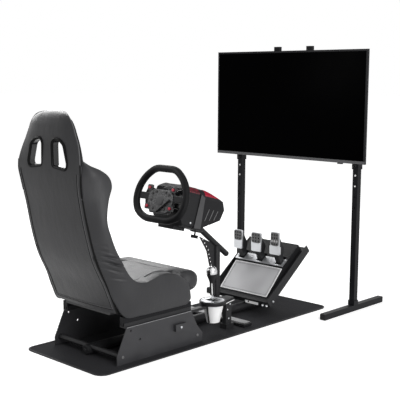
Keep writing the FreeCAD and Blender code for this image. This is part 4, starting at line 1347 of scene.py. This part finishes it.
@dataclass
class MotorBase:
    """Top panels, side ribs, straps and screws of the motor housing."""

    forge: Forge
    easel: Easel = WHEEL_EASEL
    half: float = 0.090
    top: float = 0.070
    crown: float = 0.040
    crest: float = 0.215
    back: float = 0.330
    back_up: float = 0.036
    # coloured panels: name, start and end along the housing, width at both, finish
    panels: tuple[tuple[str, Pair, Pair, Look], ...] = (
        ("rear_top_panel", (0.206, 0.330), (0.030, 0.004), Look.RED),
        ("front_top_panel", (0.078, 0.168), (0.046, 0.046), Look.WINE))
    strap: Table = ((0.163, -0.111), (0.207, -0.111), (0.2015, 0.034), (0.1735, 0.046))
    strap_span: Pair = (0.0935, 0.0948)
    flank: Table = (
        (0.211, -0.108), (0.268, -0.080), (0.331, -0.050), (0.346, 0.000), (0.329, 0.030), (0.207, 0.030))
    # ribs: foot of the first, pitch, width, lean, height of the foot, its rise per rib, height of the top
    rib: tuple[float, ...] = (0.226, 0.030, 0.0035, 0.018, -0.070, 0.006, -0.012)
    rib_count: int = 3
    # how far ribs and rear flank reach into the skin and out of it
    rib_relief: Pair = (0.001, 0.0024)
    flank_relief: Pair = (0.0006, 0.0010)
    bolt: Pair = (0.139, -0.092)
    bolt_size: Pair = (0.0048, 0.003)
    clamp: Box = (-0.052, 0.052, 0.076, 0.150)
    clamp_span: Pair = (-0.134, -0.117)
    ring: Table = ((0.064, -0.002), (0.064, 0.004), (0.060, 0.007), (0.050, 0.007), (0.046, 0.003))
    ring_spot: Spot = (0.0, -0.008, -0.060)

    def build(self) -> None:
        """Make the housing's trim on both sides, then the clamp and the ring in front."""
        for word, side in SIDES:
            for name, reach, width, look in self.panels:
                self._top_panel(f"{word}_{name}", side, reach, width, look)
            face = self.easel.facing_side(side)
            dark = rounded(np.asarray(self.flank), 0.004)
            sunk, proud = self.flank_relief
            skin = (self.half - sunk, self.half + proud)
            self.forge.slab(word + "_rear_flank", dark, skin, face, Look.BEZEL, 0.0004)
            strap = rounded(np.asarray(self.strap), 0.003)
            self.forge.slab(word + "_strap_face", strap, self.strap_span, face, Look.STRAP, 0.0004)
            self._ribs(word, face)
            spot = face.moved(*self.bolt, self.half - BOLT_SUNK)
            self.forge.bolt(word + "_deck_bolt", spot, *self.bolt_size)
        clamp = rounded(block(*self.clamp), 0.006)
        self.forge.slab("deck_front_clamp", clamp, self.clamp_span, self.easel, Look.PLASTIC, 0.002)
        spot = self.easel.facing_back().moved(*self.ring_spot)
        self.forge.lathe("motor_front_ring", self.ring, spot, Look.GLOSS, 56)

    def _height(self, across: Array, along: Array) -> Array:
        """Height of the housing's skin: its rounded shoulder, cut by the slope behind the crest.

        Args:
            across: How far out each point lies.
            along: How far along the housing it lies.

        Returns:
            The lower of the two heights at each point.
        """
        beyond = np.clip(np.abs(across) - (self.half - self.crown), 0.0, self.crown)
        shoulder = self.top - self.crown + np.sqrt(self.crown**2 - beyond**2)
        drop = (along - self.crest) / (self.back - self.crest)
        slope = self.top + (self.back_up - self.top) * np.clip(drop, 0.0, 1.0)
        return np.minimum(shoulder, slope)

    def _top_panel(self, name: str, side: float, reach: Pair, width: Pair, look: Look) -> None:
        """Coloured panel that follows the skin of the housing's shoulder.

        Args:
            name: The piece's name.
            side: Minus one for the left side, one for the right.
            reach: Where the panel starts and ends along the housing.
            width: How far across it runs at its start and at its end.
            look: The piece's finish.
        """
        rows, cols = 24, 18
        proud, sunk, inset = 0.0012, 0.003, 0.0025
        inner = self.half - inset - np.linspace(0.0, 1.0, cols) * np.linspace(*width, rows)[:, None]
        across, along = side * inner, np.repeat(np.linspace(*reach, rows)[:, None], cols, axis=1)
        skin = self._height(across, along)
        upper = np.stack([across, along, skin + proud], -1)
        lower = np.stack([across, along, skin - sunk], -1)
        loops = np.concatenate([upper, lower[:, ::-1]], axis=1)
        self.forge.loft(name, self.easel.world(loops), look)

    def _ribs(self, word: str, face: Easel) -> None:
        """Slanted cooling ribs on the rear of one side.

        Args:
            word: The side's name.
            face: The side's plane.
        """
        first, pitch, width, lean, low, rise, high = self.rib
        sunk, proud = self.rib_relief
        span = (self.half - sunk, self.half + proud)
        for number in range(self.rib_count):
            foot, up = first + pitch * number, low + rise * number
            outline = np.array([(foot, up), (foot + width, up), (foot + lean + width, high),
                                (foot + lean, high)])
            self.forge.slab(f"{word}_rib_{number}", outline, span, face, Look.RUBBER, 0.0005)


@dataclass
class PedalSet:
    """Grips of the three pedals, and the screws of tray and ledge."""

    wardrobe: Wardrobe
    pin: Pair = (0.5306, 0.2428)
    face: float = 0.050
    # how far the plates reach into the pedal's face, how thick plate and rubber are, where the holes lie
    plate_sunk: float = 0.001
    plate_thick: float = 0.0018
    rubber_thick: float = 0.0026
    hole_out: float = 0.0024
    # each pedal: body, place across, half width of its lower plate and of its rubber, height of its top
    pedals: tuple[tuple[Rider, float, float, float, float], ...] = (
        (Rider.CLUTCH, -0.122, 0.0255, 0.0255, 0.1485), (Rider.BRAKE, 0.0, 0.0295, 0.0295, 0.1485),
        (Rider.THROTTLE, 0.122, 0.0305, 0.0245, 0.1655))
    plate_up: Pair = (0.0565, 0.0975)
    rubber_up: float = 0.0985
    # holes of the rubber: height from which rows are counted, height of the first row, pitch, share across
    holes: tuple[float, float, float, float] = (0.104, 0.1075, 0.0155, 0.6)
    hole: Table = ((0.0046, -0.0008), (0.0046, 0.0006), (0.0036, 0.0008), (0.0030, 0.0002))
    pale_row: int = 1
    # heel plate: half width, length along the tray, rise, and where it starts (along, out)
    heel_half: float = 0.154
    heel_run: Pair = (0.172, 0.025)
    heel_start: Pair = (0.034, 0.005)
    # lines on the heel plate, the pale one a painted highlight on its folded edge: name, distance from its
    # edge, radius, finish
    heel_lines: tuple[tuple[str, float, float, Look], ...] = (
        ("heel_plate_edge", 0.0016, 0.0017, Look.PALE), ("heel_plate_line", 0.0120, 0.0006, Look.RUBBER))
    ledge_bolts: Pair = (0.061, 0.148)
    ledge_spot: Pair = (0.236, 0.0418)
    ledge_bolt: Pair = (0.0045, 0.0025)
    side_spot: Spot = (0.030, -0.014, 0.1895)
    side_bolt: Pair = (0.006, 0.006)
    strip: Box = (0.035, 0.119, 0.0585, 0.0750)
    strip_along: float = 0.3622
    strip_hole: Spot = (0.056, 0.067, -0.0002)
    hole_size: Pair = (0.0045, 0.001)
    knobs: Pair = (0.146, 0.170)
    knob_up: float = -0.016
    knob_size: Pair = (0.007, 0.008)

    def build(self) -> None:
        """Make the grips of each pedal, then the tray's trim and screws.

        Each grip rides on its own pedal, the rest on the base.
        """
        for rider, across, low_half, top_half, top in self.pedals:
            face = Easel((across, *self.pin)).facing_back()
            self._grip(Forge(rider, self.wardrobe), face, low_half, top_half, top)
        forge = Forge(Rider.BASE, self.wardrobe)
        self._tray(forge)
        self._heel_border(forge)

    def _grip(self, forge: Forge, face: Easel, low_half: float, top_half: float, top: float) -> None:
        """Rubber upper with round holes over a bright lower plate.

        Args:
            forge: The pedal's own forge.
            face: Easel at the pedal's pin, looked at from behind.
            low_half: Half width of the lower plate.
            top_half: Half width of the rubber upper.
            top: Height of the rubber's upper edge over the pin.
        """
        word = forge.body.value
        foot, skin = self.face - self.plate_sunk, self.face
        lower = rounded(block(-low_half, low_half, *self.plate_up), 0.010)
        forge.slab(word + "_lower_plate", lower, (foot, skin + self.plate_thick), face, Look.BRIGHT, 0.0005)
        upper = rounded(block(-top_half, top_half, self.rubber_up, top), 0.013)
        forge.slab(word + "_upper_grip", upper, (foot, skin + self.rubber_thick), face, Look.RUBBER, 0.0008)
        start, first, pitch, share = self.holes
        for number in range(3 * round((top - start) / pitch)):
            row, column = divmod(number, 3)
            spot = face.moved((column - 1) * top_half * share, first + pitch * row, skin + self.hole_out)
            pale = forge.body is Rider.THROTTLE and row == self.pale_row
            look = Look.PALE if pale else Look.GLOSS
            forge.lathe(f"{word}_grip_hole_{number}", self.hole, spot, look, 20)

    def _heel_border(self, forge: Forge) -> None:
        """Painted highlight on the heel plate's folded edge, a pale tube round it, and a sunk line inside it.

        Args:
            forge: The base's forge.
        """
        run, rise = self.heel_run
        slope = math.degrees(math.atan2(rise, run))
        plate = leaning(TRAY_EASEL.moved(0.0, *self.heel_start).origin, TRAY_LEAN + slope)
        long = math.hypot(run, rise)
        # the pale tube paints the highlight on the folded edge; the grey one is the sunk line
        for name, inset, radius, look in self.heel_lines:
            half = self.heel_half - inset
            edge = rounded(block(-half, half, inset, long - inset), 0.003, 4)
            forge.tube(name, plate.world(lifted(edge, 0.0002)), radius, look, True)

    def _tray(self, forge: Forge) -> None:
        """Screws of ledge and tray, the tray's front strip and its knobs.

        Args:
            forge: The base's forge.
        """
        for word, side in SIDES:
            for number, across in enumerate(self.ledge_bolts):
                spot = TRAY_EASEL.moved(side * across, *self.ledge_spot)
                forge.bolt(f"{word}_ledge_bolt_{number}", spot, *self.ledge_bolt)
            edge = TRAY_EASEL.facing_side(side)
            forge.bolt(word + "_tray_bolt", edge.moved(*self.side_spot), *self.side_bolt)
        upright = Easel((0.0, self.strip_along, 0.0)).facing_back()
        strip = rounded(block(*self.strip), 0.002)
        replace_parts(forge.slab("strip_face", strip, (-0.002, 0.0), upright, Look.PALE, 0.0004), "tray_strip")
        forge.bolt("strip_hole", upright.moved(*self.strip_hole), *self.hole_size, Look.GLOSS)
        front = TRAY_EASEL.facing_back()
        for number, across in enumerate(self.knobs):
            spot = front.moved(across, self.knob_up, 0.0)
            forge.bolt(f"tray_front_knob_{number}", spot, *self.knob_size)


@dataclass
class GearLever:
    """Bright dome and dark cone of the grip, ring and bolts of the gated head."""

    wardrobe: Wardrobe
    spot: Spot = (0.149, 0.005, 0.088)
    lean: float = 3.5
    # turned parts of the grip: radius and height over the pivot
    dome: Table = (
        (0.0225, 0.1915), (0.0252, 0.1940), (0.0266, 0.2000), (0.0268, 0.2060), (0.0254, 0.2130),
        (0.0222, 0.2195), (0.0170, 0.2250), (0.0100, 0.2283), (0.0010, 0.2295))
    cone: Table = (
        (0.0118, 0.1540), (0.0130, 0.1590), (0.0172, 0.1720), (0.0222, 0.1850), (0.0246, 0.1925),
        (0.0225, 0.1935))
    sleeve: Table = (
        (0.0098, 0.0930), (0.0113, 0.0945), (0.0115, 0.1000), (0.0115, 0.1520), (0.0106, 0.1555))
    # painted reflection down the grip as a pale strip, and the directions across and out of it
    strip: Box = (-0.0022, 0.0022, 0.096, 0.150)
    reflection_span: Pair = (0.0100, 0.0123)
    reflection_across: Spot = (0.78, 0.62, 0.0)
    reflection_out: Spot = (0.62, -0.78, 0.0)
    head_along: float = 0.001
    head_top: float = 0.153
    ring_radius: float = 0.0585
    # painted highlight along the edge of the head's tongue, and strap on the cup: points in the shared frame
    tongue: Table = (
        (0.196, 0.004, 0.1392), (0.196, 0.030, 0.1392), (0.184, 0.077, 0.1392), (0.1722, 0.1232, 0.1392))
    strap: Table = (
        (0.1595, -0.0465, 0.1385), (0.1588, -0.0430, 0.1150), (0.1572, -0.0352, 0.0820),
        (0.1558, -0.0283, 0.0560))
    column_face: float = 0.161
    column_bolts: Table = ((0.099, 0.052), (0.090, 0.096), (0.108, 0.120))
    # painted shade of the gate's slot openings as black patches: across from and to, along from and to
    shade_lanes: Table = (
        (-0.025, -0.019, -0.027, 0.027), (-0.003, 0.003, -0.027, 0.027), (0.019, 0.025, -0.027, 0.027),
        (-0.025, 0.025, -0.003, 0.003))
    gate_radius: float = 0.045
    gate_up: float = 0.004
    gate_bolt: Pair = (0.004, 0.0022)
    column_bolt: Pair = (0.0042, 0.003)
    # radii of ring, painted highlight on the tongue's edge and cup strap
    ring_thick: float = 0.0034
    glint_thick: float = 0.0016
    strap_thick: float = 0.0034

    def build(self) -> None:
        """Make the grip and the head's trim.

        The grip rides on the lever, the head's trim on the base.
        """
        easel = leaning(self.spot, self.lean)
        forge = Forge(Rider.LEVER, self.wardrobe)
        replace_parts(forge.lathe("grip_dome", self.dome, easel, Look.CHROME, 48), "shifter_grip")
        forge.lathe("grip_cone", self.cone, easel, Look.PLASTIC, 40)
        forge.lathe("grip_sleeve", self.sleeve, easel, Look.PLASTIC)
        face = Easel(easel.origin, self.reflection_across, easel.out, self.reflection_out)
        # pale strip down the black sleeve: painted reflection
        strip = rounded(block(*self.strip), 0.001, 3)
        forge.slab("grip_reflection", strip, self.reflection_span, face, Look.PALE, 0.0003)
        self._head(Forge(Rider.BASE, self.wardrobe))

    def _head(self, forge: Forge) -> None:
        """Ring round the gate plate with its screws, painted shade in the gate's lanes, a painted highlight
        along the tongue's edge, cup strap and column screws.

        Args:
            forge: The base's forge.
        """
        middle = Easel((self.spot[0], self.head_along, self.head_top))
        ring = middle.world(lifted(self.ring_radius * circle(72), 0.001))
        forge.tube("head_ring", ring, self.ring_thick, Look.GLOSS, True, 12)
        # pale tube along the tongue's edge: painted highlight
        forge.tube("tongue_highlight", spline(self.tongue, 40), self.glint_thick, Look.PALE)
        forge.tube("cup_strap", spline(self.strap, 30), self.strap_thick, Look.WELT, sides=10)
        post = Easel((self.column_face, 0.0, 0.0)).facing_side(1.0)
        for number, (along, up) in enumerate(self.column_bolts):
            forge.bolt(f"column_bolt_{number}", post.moved(along, up, -BOLT_SUNK), *self.column_bolt)
        plate = middle.moved(0.0, 0.0, self.gate_up)
        # black patches in the gate's lanes: painted shade of the openings
        for number, lane in enumerate(self.shade_lanes):
            span = (-0.002, 0.0005 + 0.0001 * number)
            forge.slab(f"gate_lane_shade_{number}", rounded(block(*lane), 0.001, 3), span, plate, Look.WELT, 0.0002)
        for number in range(4):
            turn = math.radians(45 + 90 * number)
            spot = plate.moved(self.gate_radius * math.cos(turn), self.gate_radius * math.sin(turn), 0.0)
            forge.bolt(f"gate_bolt_{number}", spot, *self.gate_bolt)


@dataclass
class ScreenSet:
    """Glass of the screen, bolts of its sleeves and caps of the stand's legs."""

    wardrobe: Wardrobe
    front: float = 0.710
    glass: Box = (-0.475, 0.475, 0.7750, 1.3030)
    trim: Box = (-0.4845, 0.4845, 0.7595, 0.7735)
    stand_across: float = 0.383
    # sleeve bolts: along and up
    sleeve: Pair = (0.7815, 0.742)
    sleeve_bolt: Pair = (0.009, 0.007)
    # holes of the legs: rear face of the leg, heights, radius
    leg_rear: float = 0.785
    leg_holes: Pair = (0.693, 0.639)
    hole_radius: float = 0.0049
    plug: Box = (-0.0145, 0.0145, 0.0005, 0.0295)
    plug_span: Pair = (-0.001, 0.003)
    # rear and front end of the floor tubes
    tube_ends: Pair = (0.539, 1.055)

    def build(self) -> None:
        """Make the glass, its lower trim and the stand's fittings.

        Glass, trim and sleeve bolts ride on the screen, the plugs on the base.
        """
        forge = Forge(Rider.SCREEN, self.wardrobe)
        back = Easel((0.0, self.front, 0.0)).facing_back()
        glass = rounded(block(*self.glass), 0.002, 3)
        forge.slab("screen_glass", glass, (-0.0019, -0.0006), back, Look.GLASS, 0.0004)
        trim = rounded(block(*self.trim), 0.001, 3)
        forge.slab("screen_lower_trim", trim, (-0.0004, 0.0006), back, Look.PIPING, 0.0002)
        for word, side in SIDES:
            sleeve = Easel((side * self.stand_across, *self.sleeve)).facing_back()
            forge.bolt(word + "_sleeve_bolt", sleeve, *self.sleeve_bolt, Look.BEZEL)
        self._caps(Forge(Rider.BASE, self.wardrobe))

    def _caps(self, forge: Forge) -> None:
        """Plastic plugs in the ends of the legs' floor tubes, and pale ones in their two upper holes.

        Args:
            forge: The base's forge.
        """
        plug = rounded(block(*self.plug), 0.004)
        disc = self.hole_radius * circle(24)
        rear, front = self.tube_ends
        for word, side in SIDES:
            across = side * self.stand_across
            for number, up in enumerate(self.leg_holes):
                hole = Easel((across, self.leg_rear, up)).facing_back()
                forge.slab(f"{word}_hole_plug_{number}", disc, (-0.003, -0.0002), hole, Look.PALE, 0.0002)
            back = Easel((across, rear, 0.0)).facing_back()
            forge.slab(word + "_leg_rear_plug", plug, self.plug_span, back, Look.PLASTIC)
            ahead = Easel((across, front, 0.0)).facing_ahead()
            forge.slab(word + "_leg_front_plug", plug, self.plug_span, ahead, Look.PLASTIC)


@dataclass
class SeatBase:
    """Binding of the mat, bolts of the side plates, shoes of the cross foot and the cap of the long beam."""

    forge: Forge
    mat_half: Pair = (0.2545, 0.7525)
    mat_corner: float = 0.045
    mat_up: float = 0.0034
    plate: float = 0.210
    bolts: Table = ((-0.600, 0.036), (-0.163, 0.038))
    bolt_size: Pair = (0.0065, 0.004)
    binding: float = 0.0032
    glint_thick: float = 0.0015
    # painted reflection along the upper edge of a side plate, a thin grey tube: across, start and end along,
    # up
    edge: tuple[float, float, float, float] = (0.2094, -0.576, -0.201, 0.1538)
    foot: Box = (0.015, 0.212, 0.153, 0.209)
    foot_span: Pair = (0.0042, 0.025)
    # grey sheet on the foot's top, lighter than the black shoe: painted highlight of its lit top
    foot_sheen: Box = (0.020, 0.206, 0.159, 0.203)
    foot_sheen_span: Pair = (0.0240, 0.0256)
    clamp_spot: Spot = (-0.277, 0.100, 0.2255)
    clamp_screw: Pair = (0.0055, 0.003)
    cap: Table = ((0.0222, -0.001), (0.0222, 0.003), (0.019, 0.005), (0.009, 0.005), (0.007, 0.003))
    cap_spot: Spot = (0.0, -0.622, 0.0265)
    cap_out: float = 0.004
    cap_bolt: Pair = (0.007, 0.004)

    def build(self) -> None:
        """Make the base's fittings.

        The mat's binding comes first, then each side, then the clamp's screw and the beam's end.
        """
        across, along = self.mat_half
        binding = rounded(block(-across, across, -along, along), self.mat_corner, 10)
        self.forge.tube("mat_binding", lifted(binding, self.mat_up), self.binding, Look.STEEL, True, 10)
        for word, side in SIDES:
            self._side(word, side)
        clamp = GROUND.facing_side(1.0).moved(*self.clamp_spot)
        self.forge.bolt("clamp_screw", clamp, *self.clamp_screw)
        rear = Easel(self.cap_spot).facing_back()
        self.forge.lathe("beam_end_cap", self.cap, rear, Look.PLASTIC, 40)
        self.forge.bolt("beam_end_bolt", rear.moved(0.0, 0.0, self.cap_out), *self.cap_bolt, Look.STEEL)

    def _side(self, word: str, side: float) -> None:
        """Bolts of one side plate with the painted reflection along its upper edge, and shoe of one half of
        the cross foot with the painted highlight on its top.

        Args:
            word: The side's name.
            side: Minus one for the left side, one for the right.
        """
        face = GROUND.facing_side(side)
        for number, (along, up) in enumerate(self.bolts):
            spot = face.moved(along, up, self.plate - BOLT_SUNK)
            self.forge.bolt(f"{word}_plate_bolt_{number}", spot, *self.bolt_size, Look.RUBBER)
        # grey tube along the plate's upper edge: painted reflection of the light on that edge
        across, start, end, up = self.edge
        edge = np.linspace((side * across, start, up), (side * across, end, up), 40)
        self.forge.tube(word + "_plate_edge", edge, self.glint_thick, Look.PAINTED_SHEEN)
        foot = rounded(block(*self.foot), 0.004) * (side, 1.0)
        shoe = self.forge.slab(word + "_foot_shoe", foot, self.foot_span, GROUND, Look.GLOSS, 0.005)
        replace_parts(shoe, word + "_cross_foot")
        # painted highlight: a grey sheet over the lit top of the black shoe
        foot_sheen = rounded(block(*self.foot_sheen), 0.003) * (side, 1.0)
        self.forge.slab(word + "_foot_tread", foot_sheen, self.foot_sheen_span, GROUND, Look.PAINTED_SHEEN, 0.0004)


@dataclass(frozen=True)
class SoftBox:
    """A square lamp: its name, power, side, place and what it points at."""

    name: str
    power: float
    size: float
    spot: Spot
    aim: Spot


@dataclass(frozen=True)
class Studio:
    """Pale floor, soft lights and the photograph's camera."""

    eye: Spot = (2.79962, -2.83731, 1.15669)
    yaw: float = 0.766944
    pitch: float = 0.137013
    roll: float = 0.005717
    focal_px: float = 863.70
    frame_px: float = 400.0
    sensor: float = 36.0
    floor_half: float = 60.0
    floor_up: float = -0.0006
    floor_tone: Colour = (0.9, 0.9, 0.9)
    floor_lift: Colour = (0.52, 0.52, 0.52)
    surround: float = 0.30
    sun_strength: float = 1.25
    sun_angle: float = 50.0
    sun_way: Spot = (-0.92, 0.14, -0.85)
    boxes: tuple[SoftBox, ...] = (
        SoftBox("top_box", 70.0, 1.8, (-3.0, 2.1, 2.9), (0.0, -0.5, 0.8)),
        SoftBox("head_box", 8.0, 0.6, (-0.60, -0.70, 1.36), (0.0, -0.78, 1.02)),
        SoftBox("low_box", 34.0, 1.4, (2.6, -1.0, 0.45), (0.1, -0.4, 0.3)))

    def build(self) -> None:
        """Make the floor, the lights, the world and the camera.

        Nothing here is part of the set itself.
        """
        self._floor()
        self._lights()
        self._world()
        self._camera()

    def _floor(self) -> None:
        """A wide flat floor just below the feet, a little brighter to the eye than it is lit.

        Only the rays of the eye, of gloss and of glass see the lift.
        """
        corners = lifted(self.floor_half * block(-1.0, 1.0, -1.0, 1.0), self.floor_up)
        mesh = bpy.data.meshes.new("studio_floor")
        mesh.from_pydata(corners.tolist(), [], [(0, 1, 2, 3)])
        floor = bpy.data.objects.new("studio_floor", mesh)
        bpy.context.scene.collection.objects.link(floor)
        kit = Shader("studio_white")
        lift = kit.mix(kit.seen(), (0.0, 0.0, 0.0), self.floor_lift)
        mesh.materials.append(kit.set(Base_Color=self.floor_tone, Roughness=0.95, Specular_IOR_Level=0.0,
                                      Emission_Color=lift, Emission_Strength=1.0))

    def _lamp(self, name: str, kind: str, power: float, way: Vector) -> bpy.types.Object:
        """Add one lamp that shines a given way.

        Args:
            name: The lamp's name.
            kind: Blender's type of light.
            power: Its strength.
            way: The direction it shines in.

        Returns:
            The lamp.
        """
        data = bpy.data.lights.new(name, kind)
        data.energy = power
        lamp = bpy.data.objects.new(name, data)
        lamp.rotation_euler = way.to_track_quat("-Z", "Y").to_euler()
        bpy.context.scene.collection.objects.link(lamp)
        return lamp

    def _lights(self) -> None:
        """A wide soft sun over the eye's right shoulder and the soft boxes.

        One box is high beyond the set, one close over the head part, one low beside the eye.
        """
        sun = self._lamp("high_sun", "SUN", self.sun_strength, Vector(self.sun_way))
        sun.data.angle = math.radians(self.sun_angle)
        for box in self.boxes:
            lamp = self._lamp(box.name, "AREA", box.power, Vector(box.aim) - Vector(box.spot))
            lamp.data.size = box.size
            lamp.location = box.spot
            lamp.visible_camera = False

    def _world(self) -> None:
        """Even white surround, full white to the eye and in what gloss and glass show.

        All other rays see it at the strength of the surround.
        """
        world = bpy.data.worlds.new("studio_world")
        world.use_nodes = True
        kit = NodeKit(world.node_tree)
        strength = 1.0 - (1.0 - kit.seen()) * (1.0 - self.surround)
        back = kit.node("ShaderNodeBackground", {}, {"Color": (1.0, 1.0, 1.0), "Strength": strength})
        kit.node("ShaderNodeOutputWorld", {}, {"Surface": back})
        bpy.context.scene.world = world
        bpy.context.scene.view_settings.view_transform = "Standard"

    def _camera(self) -> None:
        """The camera solved from the photograph's straight edges.

        Yaw turns it about the upright, pitch tips it down and roll turns it about its own view.
        """
        level = math.cos(self.pitch)
        forward = Vector((-math.sin(self.yaw) * level, math.cos(self.yaw) * level, -math.sin(self.pitch)))
        right = Vector((math.cos(self.yaw), math.sin(self.yaw), 0.0))
        up = right.cross(forward)
        turn_c, turn_s = math.cos(self.roll), math.sin(self.roll)
        right, up = turn_c * right + turn_s * up, -turn_s * right + turn_c * up
        data = bpy.data.cameras.new("photo_camera")
        data.sensor_width = self.sensor
        data.lens = self.focal_px / self.frame_px * self.sensor
        camera = bpy.data.objects.new("photo_camera", data)
        basis = Matrix((right, up, -forward)).transposed().to_4x4()
        camera.matrix_world = Matrix.Translation(self.eye) @ basis
        bpy.context.scene.collection.objects.link(camera)
        bpy.context.scene.camera = camera


def main() -> None:
    """Load the solids, build the looks in order and report each piece.

    The order is seat, wheel, motor base, pedals, gear lever, screen, seat base, studio.
    """
    logging.basicConfig(level=logging.INFO, format="%(message)s")
    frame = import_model()
    wardrobe = Wardrobe()
    wardrobe.dress(frame)
    BucketSeat(Forge(Rider.SEAT, wardrobe)).build()
    SteeringWheel(Forge(Rider.WHEEL, wardrobe)).build()
    MotorBase(Forge(Rider.MOUNT, wardrobe)).build()
    PedalSet(wardrobe).build()
    GearLever(wardrobe).build()
    ScreenSet(wardrobe).build()
    SeatBase(Forge(Rider.BASE, wardrobe)).build()
    Studio().build()
    LOG.info("studio and finishes ready")


if __name__ == "__main__":
    main()
